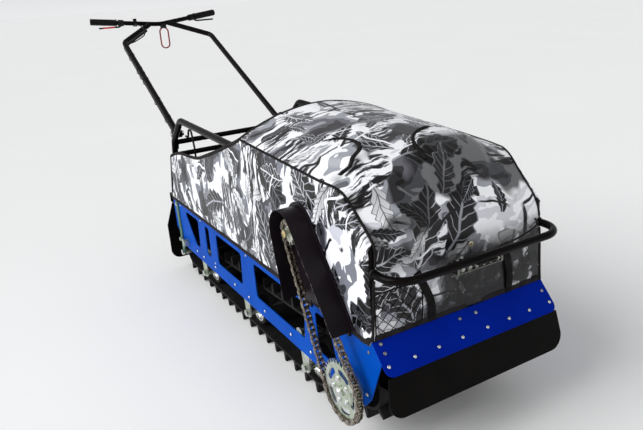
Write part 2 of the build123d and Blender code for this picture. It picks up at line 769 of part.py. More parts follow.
back_y = -cover_out - SEAT
back_face = guard_face(GUARD_FLANGE) - Pos(small_x, small_z) * Circle(OUTPUT_HOLE_R)
guard = slab(back_face, back_y - GUARD_T, back_y)
guard += slab(guard_face(0.0) - guard_face(-GUARD_T / 2), chain_y - GUARD_LIP_OUT, back_y - GUARD_T)
for foot_x in (GUARD_FOOT_REAR_X + GUARD_TAB_W, GUARD_FOOT_FRONT_X - GUARD_TAB_W):
    tab = Pos(foot_x, PANEL_TOP - GUARD_TAB_H / 2) * Rectangle(GUARD_TAB_W, GUARD_TAB_H)
    guard += slab(tab, back_y - GUARD_T, back_y)
    boss = Pos(foot_x, (PANEL_TOP - GUARD_TAB_H + hem_z - SEAT) / 2)
    guard += slab(boss * Rectangle(GUARD_TAB_W, hem_z - SEAT - PANEL_TOP + GUARD_TAB_H), back_y, -half_w)
nodes["chain_guard"] = guard

# Fabric cover: two side walls, a crowned top and the front wall, open over the load space
slope_top, slope_foot = COVER_STATIONS[-2:]
slope_share = (cover_corner_x - slope_top[0]) / (slope_foot[0] - slope_top[0])
corner_z = slope_top[1] + slope_share * (slope_foot[1] - slope_top[1])
seam = [(x, z - FABRIC_T) for x, z, rise in COVER_STATIONS[:-1]] + [(cover_corner_x, corner_z - FABRIC_T)]
cover_side = outline(
    (cover_corner_x, hem_z),
    *reversed(seam),
    COVER_WAIST,
    COVER_REAR_TOP,
    (PANEL_REAR_X, hem_z),
)
cover_side = fillet(cover_side.vertices().sort_by(Axis.X)[1:3], COVER_R)
side_right = slab(cover_side, -cover_out, -cover_in)
output_hole = rod(OUTPUT_HOLE_R, small_x, small_z, -cover_out - SEAT, -cover_in + SEAT)
nodes["cover_side_left"] = slab(cover_side, cover_in, cover_out)
nodes["cover_side_right"] = side_right - output_hole


def arch(z, rise, way):
    """Arc across the machine from seam to seam."""
    return ThreePointArc((-way * cover_out, z), (0, z + rise), (way * cover_out, z))


def crown(z, rise):
    """Closed band across the machine under an arc, as thick as the fabric."""
    over = arch(z, rise, 1)
    under = arch(z - FABRIC_T, rise, -1)
    return make_face(Curve() + [over, Line(over @ 1, under @ 0), under, Line(under @ 1, over @ 0)])


def below(z, rise):
    """Closed face across the machine from the hem up to the underside of the crown."""
    under = arch(z - FABRIC_T, rise, 1)
    foot = Polyline(under @ 1, (cover_out, hem_z), (-cover_out, hem_z), under @ 0)
    return make_face(Curve() + [under, foot])


def nose_face(step):
    """Front end of the cover from above, with rounded corners, moved in by a step."""
    length = 4 * COVER_CORNER_R
    rounded = RectangleRounded(length - 2 * step, 2 * (cover_out - step), COVER_CORNER_R - step)
    return Pos(cover_front_x - length / 2, 0) * rounded


nodes["cover_top"] = loft([Plane.YZ.offset(x) * crown(z, rise) for x, z, rise in COVER_STATIONS], ruled=True)
front_band = nose_face(0.0) - nose_face(FABRIC_T)
front_band &= Pos(cover_front_x - COVER_CORNER_R / 2, 0) * Rectangle(COVER_CORNER_R, 2 * BODY_W)
front_wall = extrude(Plane.XY.offset(front_hem_z) * front_band, slope_top[1] - front_hem_z)
front_wall &= loft([Plane.YZ.offset(x) * below(z, rise) for x, z, rise in COVER_STATIONS[-2:]], ruled=True)
bumper_path = [
    (POST_X, -leg_y, BUMPER_Z),
    (BUMPER_X, -leg_y, BUMPER_Z),
    (BUMPER_X, leg_y, BUMPER_Z),
    (POST_X, leg_y, BUMPER_Z),
]
leg_holes = tube(bumper_path, BUMPER_R + LEG_CLEAR, BUMPER_BEND)
nodes["cover_front"] = front_wall - leg_holes

# Tubular frame inside the cover, cross tubes at the rear, bumper with its lamp and straps
rail_path = [
    (RAIL_FOOT_X, leg_y, deck_top),
    (RAIL_KNEE_X, leg_y, RAIL_KNEE_Z),
    (RAIL_TOP_X, leg_y, rail_z),
    (RAIL_FRONT_X, leg_y, rail_front_z),
    (POST_X, leg_y, shoulder_z),
    (POST_X, leg_y, deck_top),
]
rail = tube(rail_path, TUBE_R, RAIL_BEND)
floor_cut = Pos(RAIL_FOOT_X, leg_y, deck_top - TUBE_R) * Box(8 * TUBE_R, 4 * TUBE_R, 2 * TUBE_R)
rail -= floor_cut
nodes["frame_rail_left"] = rail
nodes["frame_rail_right"] = mirror(rail, about=Plane.XZ)
cross = []
for z in CROSS_Z:
    share = (z - deck_top) / (RAIL_KNEE_Z - deck_top)
    x = RAIL_FOOT_X + share * (RAIL_KNEE_X - RAIL_FOOT_X)
    brace = rod(TUBE_R - CROSS_STEP, x, z, -leg_y, leg_y)
    brace = brace - nodes["frame_rail_left"] - nodes["frame_rail_right"]
    cross.append(brace.solids().sort_by(SortBy.VOLUME)[-1])
nodes["rear_cross_tubes"] = Compound(cross)
bumper = tube(bumper_path, BUMPER_R, BUMPER_BEND) - nodes["frame_rail_left"] - nodes["frame_rail_right"]
bumper = bumper.solids().sort_by(SortBy.VOLUME)[-1]
nodes["bumper"] = bumper
lamp_top = BUMPER_Z - BUMPER_R - LAMP_BRACKET_T
lamp_plane = Plane.YZ.offset(LAMP_X - LAMP_D / 2)
lamp = extrude(lamp_plane * Pos(0, lamp_top - LAMP_H / 2) * RectangleRounded(LAMP_L, LAMP_H, LAMP_R), LAMP_D)
lens_z = lamp_top - LAMP_H / 2
for k in range(FIN_COUNT):
    y = (k - (FIN_COUNT - 1) / 2) * LAMP_L / FIN_COUNT
    lamp -= Pos(LAMP_X - LAMP_D / 2, y, lens_z) * Box(2 * FIN_DEPTH, FIN_SLOT, 2 * LAMP_H)
lens_y = [(k - (LENS_COUNT - 1) / 2) * LENS_PITCH for k in range(LENS_COUNT)]
recess_plane = Plane.YZ.offset(LAMP_X + LAMP_D / 2)
for y in lens_y:
    lamp -= extrude(recess_plane * Pos(y, lens_z) * Circle(LENS_R), -LENS_RECESS)
bracket_d = BUMPER_X - LAMP_X + LAMP_BRACKET_W
bracket_h = LAMP_BRACKET_T + LAMP_BRACKET_SEAT
bracket_mid = Pos((BUMPER_X + LAMP_X) / 2, 0, lamp_top + bracket_h / 2)
bracket = bracket_mid * Box(bracket_d, LAMP_BRACKET_L, bracket_h) - bumper
nodes["light_bar"] = lamp + bracket
lens_plane = recess_plane.offset(-LENS_RECESS)
lens = Circle(LENS_R - SEAT)
nodes["light_lenses"] = Compound([extrude(lens_plane * Pos(y, lens_z) * lens, LENS_T) for y in lens_y])
straps = []
for top_y, low_y in STRAPS:
    strap = outline(
        (low_y - STRAP_W / 2, front_hem_z),
        (low_y + STRAP_W / 2, front_hem_z),
        (top_y + STRAP_W / 2, STRAP_TOP_Z),
        (top_y - STRAP_W / 2, STRAP_TOP_Z),
    )
    straps.append(extrude(Plane.YZ.offset(cover_front_x) * strap, STRAP_T))
nodes["cover_straps"] = Compound(straps)

# Handle pivots on the rear uprights
bush_y0 = arm_y - BUSH_HALF
bush_y1 = arm_y + BUSH_HALF
plate_y = bush_y1 + WASHER_GAP
knee_share = (PIVOT_Z - BRACKET_TAIL - deck_top) / (RAIL_KNEE_Z - deck_top)
bracket_low_x = RAIL_FOOT_X + knee_share * (RAIL_KNEE_X - RAIL_FOOT_X)
bracket_face = make_hull(
    [
        *(Pos(PIVOT_X, PIVOT_Z) * Circle(BRACKET_R)).edges(),
        *(Pos(RAIL_KNEE_X, RAIL_KNEE_Z) * Circle(BRACKET_R / 2)).edges(),
        *(Pos(bracket_low_x, PIVOT_Z - BRACKET_TAIL) * Circle(BRACKET_R / 2)).edges(),
    ]
)
bracket_face -= Pos(PIVOT_X, PIVOT_Z) * Circle(PIN_R)
ear = slab(bracket_face, plate_y, plate_y + BRACKET_T) - nodes["frame_rail_left"] - nodes["rear_cross_tubes"]
nodes["pivot_brackets"] = pair(ear.solids().sort_by(SortBy.VOLUME)[-1])
pin = rod(PIN_R, PIVOT_X, PIVOT_Z, bush_y0 - WASHER_GAP, plate_y + BRACKET_T)
pin += rod(PIN_HEAD_R, PIVOT_X, PIVOT_Z, bush_y0 - WASHER_GAP - PIN_HEAD_T, bush_y0 - WASHER_GAP)
pin += rod(PIN_HEAD_R, PIVOT_X, PIVOT_Z, plate_y + BRACKET_T, plate_y + BRACKET_T + PIN_HEAD_T)
nodes["pivot_bolts"] = pair(pin - nodes["frame_rail_left"])

# Folding handle: two arms, the handlebar and its controls
bar_path = [(BAR_END_X, -BAR_END_Y, BAR_END_Z), (BAR_X, 0.0, BAR_Z), (BAR_END_X, BAR_END_Y, BAR_END_Z)]
bar_line = FilletPolyline(*bar_path, radius=BAR_BEND_R)
bar_end = bar_line @ 1
out_dir = bar_line % 1


def along_bar(out):
    """Point on the bar's centre line, a length to the left of its middle."""
    return bar_line @ (0.5 + out / bar_line.length)


def on_bar(back):
    """Plane across the left half of the bar, a length in from its end."""
    return Plane(origin=bar_end - out_dir * back, z_dir=out_dir)


bar = tube(bar_path, BAR_R, BAR_BEND_R)
nodes["handlebar"] = bar
meet = along_bar(BAR_MEET)
arm_path = [(PIVOT_X, arm_y, PIVOT_Z), (ARM_BEND_X, arm_bend_y, ARM_BEND_Z), tuple(meet)]
arm = tube(arm_path, ARM_R, ARM_BEND_R) + rod(BUSH_R, PIVOT_X, PIVOT_Z, bush_y0, bush_y1)
arm -= rod(PIN_R + PIN_CLEAR, PIVOT_X, PIVOT_Z, bush_y0 - WASHER_GAP, bush_y1 + WASHER_GAP)
arm -= bar
arm = arm.solids().sort_by(SortBy.VOLUME)[-1]
nodes["handle_arm_left"] = arm
nodes["handle_arm_right"] = mirror(arm, about=Plane.XZ)
grip = extrude(on_bar(GRIP_L) * Circle(GRIP_R), GRIP_L + GRIP_CAP) - bar
grip = grip.solids().sort_by(SortBy.VOLUME)[-1]
nodes["grips"] = pair(grip)
perch_back = GRIP_L + PERCH_GAP + PERCH_L
perch = extrude(on_bar(perch_back) * Circle(PERCH_R), PERCH_L) - bar
perch = perch.solids().sort_by(SortBy.VOLUME)[-1]
perch_mid = bar_end - out_dir * (perch_back - PERCH_L / 2)
lever_root = perch_mid + Vector(LEVER_ROOT, 0, -LEVER_R)
lever_knee = perch_mid + Vector(PERCH_R + LEVER_REACH, LEVER_ROOT, -LEVER_DROP)
lever_tip = lever_knee + out_dir * LEVER_OUT + Vector(LEVER_FLARE, 0, -LEVER_TIP_DROP)
lever = tube([tuple(lever_root), tuple(lever_knee), tuple(lever_tip)], LEVER_R, LEVER_BEND)
control = perch + (lever - bar)
nodes["brake_lever"] = control
nodes["throttle_lever"] = mirror(control, about=Plane.XZ)

# Stop switch on the bar, tether switch and ring under it, cables on the right arm and at the pivot
switch_at = along_bar(-SWITCH_OUT)
switch_plane = Plane(origin=switch_at, z_dir=bar_line % 0)
switch = extrude(switch_plane * Circle(SWITCH_CLAMP_R), SWITCH_R, both=True)
switch += extrude(Plane.XY.offset(switch_at.Z) * Pos(switch_at.X, switch_at.Y) * Circle(SWITCH_R), SWITCH_H)
nodes["stop_switch"] = (switch - bar).solids().sort_by(SortBy.VOLUME)[-1]
tether_at = along_bar(TETHER_OUT)
tether_top = tether_at.Z
tether = Pos(tether_at.X, tether_at.Y, tether_top - TETHER_H / 2) * Box(TETHER_W, TETHER_W, TETHER_H)
tether = (tether - bar).solids().sort_by(Axis.Z)[0]
ring_face = SlotOverall(RING_L, RING_W) - SlotOverall(RING_L - 4 * RING_R, RING_W - 4 * RING_R)
ring_z = tether_top - TETHER_H - RING_L / 2 + 2 * RING_R
ring_plane = Plane.YZ.offset(tether_at.X - RING_R)
ring_slot = Box(3 * RING_R, RING_W + 2 * RING_CLEAR, RING_L + 2 * RING_CLEAR)
nodes["tether_switch"] = tether - Pos(tether_at.X, tether_at.Y, ring_z) * ring_slot
nodes["tether_ring"] = extrude(ring_plane * Pos(tether_at.Y, ring_z) * Rot(0, 0, 90) * ring_face, 2 * RING_R)
arm_run = hypot(ARM_BEND_X - PIVOT_X, ARM_BEND_Z - PIVOT_Z)
below = ARM_R + BUNDLE_R + SEAT
under_x = -below * (ARM_BEND_Z - PIVOT_Z) / arm_run
under_z = below * (ARM_BEND_X - PIVOT_X) / arm_run
bundle_start = Vector(PIVOT_X, -arm_y, PIVOT_Z)
bundle_bend = Vector(ARM_BEND_X, -arm_bend_y, ARM_BEND_Z)
bundle_end = Vector(meet.X, -meet.Y, meet.Z)
shift = Vector(under_x, 0, under_z)
bundle_path = [
    tuple(bundle_start + (bundle_bend - bundle_start).normalized() * BUNDLE_START + shift),
    tuple(bundle_bend + shift),
    tuple(bundle_end - (bundle_end - bundle_bend).normalized() * BUNDLE_STOP + shift),
]
nodes["cable_bundle"] = tube(bundle_path, BUNDLE_R, ARM_BEND_R)
cable_y = arm_y - ARM_R - 3 * CABLE_R
cross_share = (CROSS_Z[0] - deck_top) / (RAIL_KNEE_Z - deck_top)
cross_x = RAIL_FOOT_X + cross_share * (RAIL_KNEE_X - RAIL_FOOT_X)
cable_z = CROSS_Z[0] + TUBE_R - CROSS_STEP + CABLE_R + SEAT
cable_path = [
    (cross_x - CABLE_TAIL, -cable_y, cable_z),
    (cross_x + CABLE_TAIL, -cable_y, cable_z),
    (cross_x + 2 * CABLE_TAIL, -cable_y, cable_z + CABLE_RISE),
    (cross_x + 4 * CABLE_TAIL, -cable_y, cable_z + CABLE_RISE),
    (cross_x + 5 * CABLE_TAIL, -cable_y, cable_z - CABLE_RISE),
    (cross_x + 5 * CABLE_TAIL, -cable_y, deck_top),
]
nodes["control_cable"] = tube(cable_path, CABLE_R, CABLE_BEND)

# Move everything to mid-length and write it out
mid_x = (BUMPER_X + BUMPER_R + nodes["grips"].bounding_box().min.X) / 2
os.makedirs("parts", exist_ok=True)
for name, shape in nodes.items():
    solids = [Pos(-mid_x, 0, 0) * solid for solid in shape.solids()]
    export_step(Compound(solids), f"parts/{name}.step")
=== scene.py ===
from math import acos, atan2, cos, exp, hypot, pi, radians, sin, sqrt

import bpy
from mathutils import Matrix, Vector, noise


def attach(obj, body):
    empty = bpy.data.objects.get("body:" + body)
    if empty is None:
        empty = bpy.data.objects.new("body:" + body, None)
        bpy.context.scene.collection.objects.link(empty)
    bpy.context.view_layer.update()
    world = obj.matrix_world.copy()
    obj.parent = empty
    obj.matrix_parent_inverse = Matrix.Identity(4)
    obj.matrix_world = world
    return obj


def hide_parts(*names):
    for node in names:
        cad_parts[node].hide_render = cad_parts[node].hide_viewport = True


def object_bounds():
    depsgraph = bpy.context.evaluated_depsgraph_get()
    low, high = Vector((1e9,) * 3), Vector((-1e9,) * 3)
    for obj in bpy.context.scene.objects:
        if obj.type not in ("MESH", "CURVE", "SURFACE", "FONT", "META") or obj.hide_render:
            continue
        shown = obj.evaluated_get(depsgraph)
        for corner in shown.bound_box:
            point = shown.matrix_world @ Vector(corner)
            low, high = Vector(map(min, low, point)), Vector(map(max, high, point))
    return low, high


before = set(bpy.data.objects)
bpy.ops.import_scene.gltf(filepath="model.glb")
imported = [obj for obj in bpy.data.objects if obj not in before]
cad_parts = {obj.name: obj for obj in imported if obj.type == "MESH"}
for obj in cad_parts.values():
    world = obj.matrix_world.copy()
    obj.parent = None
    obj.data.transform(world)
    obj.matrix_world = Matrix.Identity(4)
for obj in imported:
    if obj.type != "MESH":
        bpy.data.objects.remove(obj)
cad_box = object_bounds()

# Places are in millimetres from the front top corner of the side panels, as in the part.
SHIFT_X = 1160.7405
COVER_Y = 283.3
HEM_Z = 341.0
FRONT_HEM_Z = 355.5
PANEL_TOP = 353.0
PANEL_Y = 280.0
REAR_X = -1534.0
BAR_END = (-2396.0, 330.0, 1082.0)
BAR_OUT = (-70.0, 330.0, 36.0)
DRIVE_AXIS = (-90.0, 187.0)
SMALL_SPROCKET = (-313.3, 549.3)
FORWARD, LEFTWARD, UPWARD = Vector((1, 0, 0)), Vector((0, 1, 0)), Vector((0, 0, 1))


def place(x, y, z):
    return Vector(((x + SHIFT_X) / 1000, y / 1000, z / 1000))


def clamp(value, low, high):
    return max(low, min(high, value))


def smooth(low, high, value):
    share = clamp((value - low) / (high - low), 0.0, 1.0)
    return share * share * (3 - 2 * share)


# Materials


class Shader:
    """A material whose colour, roughness and relief come from textures in the piece's own frame."""

    def __init__(self, name):
        self.material = bpy.data.materials.new(name)
        self.material.use_nodes = True
        self.nodes = self.material.node_tree.nodes
        self.links = self.material.node_tree.links
        self.surface = self.nodes["Principled BSDF"]
        self.coords = self.nodes.new("ShaderNodeTexCoord").outputs["Object"]

    def join(self, source, target):
        self.links.new(source, target)

    def feed(self, slot, value):
        """Set an input to a number or a row of numbers, or join another node's output to it."""
        if isinstance(value, (int, float, tuple, Vector)):
            slot.default_value = value
        else:
            self.join(value, slot)

    def add(self, kind, inputs, **settings):
        """A new node with its settings and its inputs by name, or in their order."""
        node = self.nodes.new("ShaderNode" + kind)
        for key, value in settings.items():
            setattr(node, key, value)
        for key, value in inputs.items() if isinstance(inputs, dict) else enumerate(inputs):
            self.feed(node.inputs[key], value)
        return node

    def mapped(self, scale=(1, 1, 1), turn=(0, 0, 0), source=None, shift=(0, 0, 0)):
        inputs = {"Location": shift, "Scale": scale, "Rotation": turn, "Vector": source or self.coords}
        return self.add("Mapping", inputs).outputs["Vector"]

    def noise(self, scale, detail=3.0, source=None, roughness=0.55):
        inputs = {"Scale": scale, "Detail": detail, "Roughness": roughness, "Vector": source or self.coords}
        return self.add("TexNoise", inputs)

    def cloud(self, *settings, **more):
        return self.noise(*settings, **more).outputs["Fac"]

    def ramp(self, source, *stops, interpolation="LINEAR"):
        node = self.add("ValToRGB", {"Fac": source})
        node.color_ramp.interpolation = interpolation
        elements = node.color_ramp.elements
        while len(elements) < len(stops):
            elements.new(0.5)
        for element, (position, color) in zip(elements, stops):
            element.position = position
            element.color = (*color, 1.0) if hasattr(color, "__len__") else (color, color, color, 1.0)
        return node.outputs["Color"]

    def math(self, operation, *values):
        return self.add("Math", values, operation=operation).outputs["Value"]

    def times(self, first, second):
        return self.math("MULTIPLY", first, second)

    def minus(self, first, second):
        return self.math("SUBTRACT", first, second)

    def vector(self, operation, *values):
        node = self.add("VectorMath", values, operation=operation)
        return node.outputs["Value" if operation in ("DOT_PRODUCT", "LENGTH") else "Vector"]

    def split(self, source):
        return self.add("SeparateXYZ", [source]).outputs

    def mix(self, factor, first, second, blend="MIX"):
        first, second = ((*tone, 1.0) if isinstance(tone, tuple) else tone for tone in (first, second))
        inputs = {0: factor, 6: first, 7: second}
        return self.add("Mix", inputs, data_type="RGBA", blend_type=blend).outputs[2]

    def darken(self, where, color, tone):
        """Multiply a colour by a tone where a mask is 1."""
        return self.mix(where, color, self.mix(1.0, color, tone, "MULTIPLY"))

    def rough(self, source, low, high):
        node = self.add("MapRange", {"To Min": low, "To Max": high, "Value": source})
        self.join(node.outputs["Result"], self.surface.inputs["Roughness"])

    def relief(self, source, strength, distance, below=None):
        inputs = {"Strength": strength, "Distance": distance, "Height": source}
        if below is not None:
            inputs["Normal"] = below
        normal = self.add("Bump", inputs).outputs["Normal"]
        self.join(normal, self.surface.inputs["Normal"])
        return normal

    def dress(self, color, gloss, rough, grain=None, **values):
        """Colour, uneven gloss, a fine grain of (scale, strength, depth) and the surface's other inputs."""
        self.join(color, self.surface.inputs["Base Color"])
        self.rough(gloss, *rough)
        if grain:
            self.relief(self.cloud(grain[0], 2.0), *grain[1:])
        for key, value in values.items():
            self.surface.inputs[key.replace("_", " ")].default_value = value
        return self.material


def coated(name, dark, light, rough, spread, grain, relief, specular=0.5, metallic=0.0):
    """Paint, plating, plastic or rubber: two close shades, uneven gloss and a fine grain."""
    shader = Shader(name)
    color = shader.ramp(shader.cloud(spread, 5.0), (0.32, dark), (0.68, light))
    gloss = shader.cloud(spread * 3.1, 6.0)
    inputs = {"Specular_IOR_Level": specular, "Metallic": metallic}
    return shader.dress(color, gloss, rough, (grain, 0.35, relief), **inputs)


# name: dark and light shade, roughness range, clouds and grains in a metre, relief, specular, metallic
COATINGS = {
    "blue_paint": ((0.0, 0.052, 0.34), (0.0, 0.07, 0.43), (0.32, 0.46), 6.0, 420.0, 0.00012, 0.02),
    # The apron's paint is the panels' blue darkened as painted shade, for the shade its forward face lies in
    "apron_blue_painted_shade": ((0.0, 0.013, 0.26), (0.0, 0.018, 0.33), (0.32, 0.46), 6.0, 420.0, 0.00012, 0.02),
    "black_paint": ((0.0014, 0.0009, 0.0007), (0.004, 0.0029, 0.0023), (0.2, 0.34), 7, 500.0, 0.00012, 0.07),
    "guard_paint": ((0.006, 0.004, 0.006), (0.013, 0.009, 0.012), (0.34, 0.5), 8.0, 700.0, 0.0001, 0.12),
    "track_rubber": ((0.004, 0.004, 0.004), (0.014, 0.014, 0.013), (0.5, 0.8), 22.0, 600.0, 0.0005, 0.15),
    "tyre_rubber": ((0.007, 0.007, 0.007), (0.02, 0.019, 0.018), (0.5, 0.75), 30.0, 900.0, 0.0003, 0.15),
    "flap_rubber": ((0.001, 0.0007, 0.0005), (0.003, 0.0022, 0.0018), (0.4, 0.6), 11.0, 1300.0, 0.0002, 0.05),
    "grip_rubber": ((0.004, 0.004, 0.004), (0.01, 0.009, 0.009), (0.5, 0.7), 40.0, 1500.0, 0.0002, 0.12),
    "black_plastic": ((0.005, 0.005, 0.005), (0.012, 0.011, 0.011), (0.3, 0.5), 35.0, 1800.0, 0.0001, 0.12),
    "engine_cast": ((0.03, 0.03, 0.031), (0.07, 0.07, 0.07), (0.5, 0.75), 24.0, 500.0, 0.0006, 0.5, 0.4),
    "red_anodised": ((0.22, 0.006, 0.006), (0.34, 0.012, 0.010), (0.25, 0.4), 60.0, 1500.0, 0.00008, 0.25),
    "led_yellow": ((0.75, 0.55, 0.12), (0.95, 0.8, 0.35), (0.2, 0.35), 300.0, 2500.0, 0.00005),
    "reflector": ((0.8, 0.78, 0.7), (0.92, 0.9, 0.84), (0.15, 0.3), 60.0, 2200.0, 0.00003, 0.5, 0.35),
    "bezel_grey": ((0.1, 0.115, 0.095), (0.17, 0.185, 0.155), (0.4, 0.55), 60.0, 1500.0, 0.00008),
    "strip_green": ((0.03, 0.09, 0.06), (0.06, 0.15, 0.1), (0.35, 0.55), 14.0, 700.0, 0.0001, 0.3),
}
coat = {name: coated(name, *row) for name, row in COATINGS.items()}


def zinc(name, tint, dark, rough):
    """Bright zinc plating with the green-yellow bloom of its passivated skin and darker stains."""
    shader = Shader(name)
    bloom = shader.ramp(shader.cloud(14.0, 5.0), (0.34, (0.66, 0.68, 0.66)), (0.66, tint))
    stain = shader.ramp(shader.cloud(46.0, 7.0), (0.5, 0.0), (0.78, 0.6))
    color = shader.mix(stain, bloom, dark)
    return shader.dress(color, shader.cloud(60.0, 6.0), rough, (800.0, 0.3, 0.0001), Metallic=1.0)


# name: tint of the bloom, stains, roughness range
PLATINGS = {
    "zinc_steel": ((0.56, 0.62, 0.5), (0.24, 0.25, 0.2), (0.22, 0.42)),
    "zinc_olive": ((0.42, 0.5, 0.33), (0.16, 0.19, 0.12), (0.28, 0.46)),
    "bright_bolt": ((0.74, 0.75, 0.73), (0.4, 0.4, 0.38), (0.16, 0.34)),
    "brass_nut": ((0.72, 0.58, 0.25), (0.42, 0.34, 0.14), (0.22, 0.4)),
    "dark_bolt": ((0.10, 0.10, 0.11), (0.03, 0.03, 0.03), (0.3, 0.5)),
}
coat.update({name: zinc(name, *row) for name, row in PLATINGS.items()})


def chain_material():
    """Oiled steel links with brown grime."""
    shader = Shader("chain_steel")
    steel = shader.ramp(shader.cloud(90.0, 4.0), (0.35, (0.28, 0.24, 0.19)), (0.65, (0.5, 0.45, 0.38)))
    grime = shader.ramp(shader.cloud(240.0, 5.0), (0.41, 0.0), (0.57, 1.0))
    color = shader.mix(grime, steel, (0.06, 0.04, 0.028))
    return shader.dress(color, shader.cloud(200.0, 4.0), (0.22, 0.5), (900.0, 0.4, 0.0002), Metallic=0.9)


def off_axis(shader, origin, axis):
    """Step along an axis and distance from it, for colours that follow a turned shape."""
    offset = shader.vector("SUBTRACT", shader.coords, origin)
    across = shader.vector("CROSS_PRODUCT", offset, axis)
    return shader.vector("DOT_PRODUCT", offset, axis), shader.vector("LENGTH", across)


LEVER_FOOT = (-2366.1, -189.0, 1066.6)
SLEEVE_FROM, SLEEVE_TO = 0.03, 0.088
PERCH_R = 0.0166
SHAFT_R = 0.0095


def lever_material():
    """Lever with a red sleeve, on a black perch round the bar."""
    shader = Shader("red_lever")
    axis = Vector((BAR_OUT[0], -BAR_OUT[1], BAR_OUT[2])).normalized()
    step, away = off_axis(shader, place(*LEVER_FOOT), axis)
    started, ended = shader.math("GREATER_THAN", step, SLEEVE_FROM), shader.math("LESS_THAN", step, SLEEVE_TO)
    sleeve = shader.times(started, ended)
    sleeve = shader.times(sleeve, shader.math("GREATER_THAN", away, PERCH_R))
    cloud = shader.cloud(50.0, 4.0)
    red = shader.ramp(cloud, (0.35, (0.5, 0.012, 0.010)), (0.65, (0.65, 0.024, 0.016)))
    black = shader.ramp(cloud, (0.35, (0.006, 0.006, 0.006)), (0.65, (0.012, 0.011, 0.011)))
    color = shader.mix(sleeve, black, red)
    grain = (1500.0, 0.3, 0.00008)
    return shader.dress(color, shader.cloud(80.0, 3.0), (0.25, 0.4), grain, Specular_IOR_Level=0.2)


def sprocket_material():
    """Zinc plated sprocket on a yellow passivated shaft."""
    shader = Shader("shaft_end")
    away = off_axis(shader, place(SMALL_SPROCKET[0], 0.0, SMALL_SPROCKET[1]), LEFTWARD)[1]
    cloud = shader.cloud(60.0, 5.0)
    plate = shader.ramp(cloud, (0.35, (0.42, 0.44, 0.36)), (0.65, (0.68, 0.7, 0.62)))
    yellow = shader.ramp(cloud, (0.35, (0.5, 0.36, 0.1)), (0.65, (0.78, 0.62, 0.26)))
    color = shader.mix(shader.math("LESS_THAN", away, SHAFT_R), plate, yellow)
    return shader.dress(color, shader.cloud(80.0, 4.0), (0.22, 0.42), (800.0, 0.3, 0.0001), Metallic=0.9)


def lens_material():
    """Clear lens, a little uneven."""
    shader = Shader("lamp_glass")
    cloud = shader.cloud(200.0, 3.0)
    color = shader.ramp(cloud, (0.3, (0.92, 0.93, 0.9)), (0.7, (0.98, 0.98, 0.96)))
    return shader.dress(color, cloud, (0.02, 0.07), (350.0, 0.2, 0.0001), Transmission_Weight=0.95, IOR=1.45)


coat["chain_steel"] = chain_material()
coat["red_lever"] = lever_material()
coat["shaft_end"] = sprocket_material()
coat["lamp_glass"] = lens_material()


def weave(shader, pitch, strength, below=None):
    """Relief of plain woven cloth: two crossing sets of threads."""
    threads = []
    source = shader.mapped((1, 1, 1), (0.25, 0.35, 0.0))
    inputs = {"Scale": 0.31 / pitch, "Distortion": 0.6, "Vector": source}
    for direction in ("X", "Z"):
        wave = shader.add("TexWave", inputs, wave_type="BANDS", bands_direction=direction)
        threads.append(wave.outputs["Fac"])
    return shader.relief(shader.times(*threads), strength, pitch / 3, below)


def leaf_print(shader, cloth, shift, size, length, width, tones, inks, share):
    """Separate leaves strewn over the cloth: their colour, and 1 inside a leaf."""
    moved = shader.mapped(shift=shift, source=cloth)
    inputs = {"Scale": size, "Randomness": 0.85, "Vector": moved}
    cell = shader.add("TexVoronoi", inputs, feature="F1", voronoi_dimensions="2D")
    pick = shader.add("SeparateColor", [cell.outputs["Color"]])
    local = shader.vector("SUBTRACT", moved, cell.outputs["Position"])
    turn = shader.times(pick.outputs["Red"], 2 * pi)
    spun = shader.add("VectorRotate", {"Vector": local, "Angle": turn}, rotation_type="Z_AXIS")
    axes = shader.split(spun.outputs["Vector"])
    along = shader.math("DIVIDE", axes["X"], length)
    across = shader.math("DIVIDE", shader.math("ABSOLUTE", axes["Y"]), width)
    taper = shader.minus(1.0, shader.times(along, along))
    wave = shader.math("SINE", shader.times(along, 19.0))
    edge = shader.times(taper, shader.math("ADD", 1.0, shader.times(0.16, wave)))
    inside = shader.math("LESS_THAN", across, edge)
    inside = shader.times(inside, shader.math("LESS_THAN", pick.outputs["Blue"], share))
    fill = shader.math("DIVIDE", across, shader.math("MAXIMUM", edge, 0.01))
    slant = shader.minus(shader.times(along, 4.0), shader.times(across, 1.5))
    row = shader.math("ABSOLUTE", shader.minus(shader.math("FRACT", slant), 0.5))
    vein = shader.ramp(row, (0.035, 1.0), (0.08, 0.0))
    rib = shader.ramp(across, (0.05, 1.0), (0.09, 0.0))
    rim = shader.ramp(fill, (0.86, 0.0), (0.92, 0.85))
    lines = shader.mix(1.0, shader.mix(1.0, vein, rib, "LIGHTEN"), rim, "LIGHTEN")
    color = shader.ramp(pick.outputs["Green"], *tones, interpolation="CONSTANT")
    lengthwise = shader.math("ADD", shader.times(along, 0.4), 0.5)
    color = shader.mix(1.0, color, shader.ramp(lengthwise, (0.1, 0.45), (0.75, 1.0)), "MULTIPLY")
    ink = shader.ramp(pick.outputs["Green"], *inks, interpolation="CONSTANT")
    return shader.mix(shader.times(lines, 0.85), color, ink), inside


BLACK, COAL, SLATE = (0.009, 0.008, 0.01), (0.035, 0.033, 0.038), (0.13, 0.13, 0.15)
GREY, PALE, WHITE = (0.34, 0.35, 0.39), (0.68, 0.69, 0.74), (0.92, 0.93, 0.96)
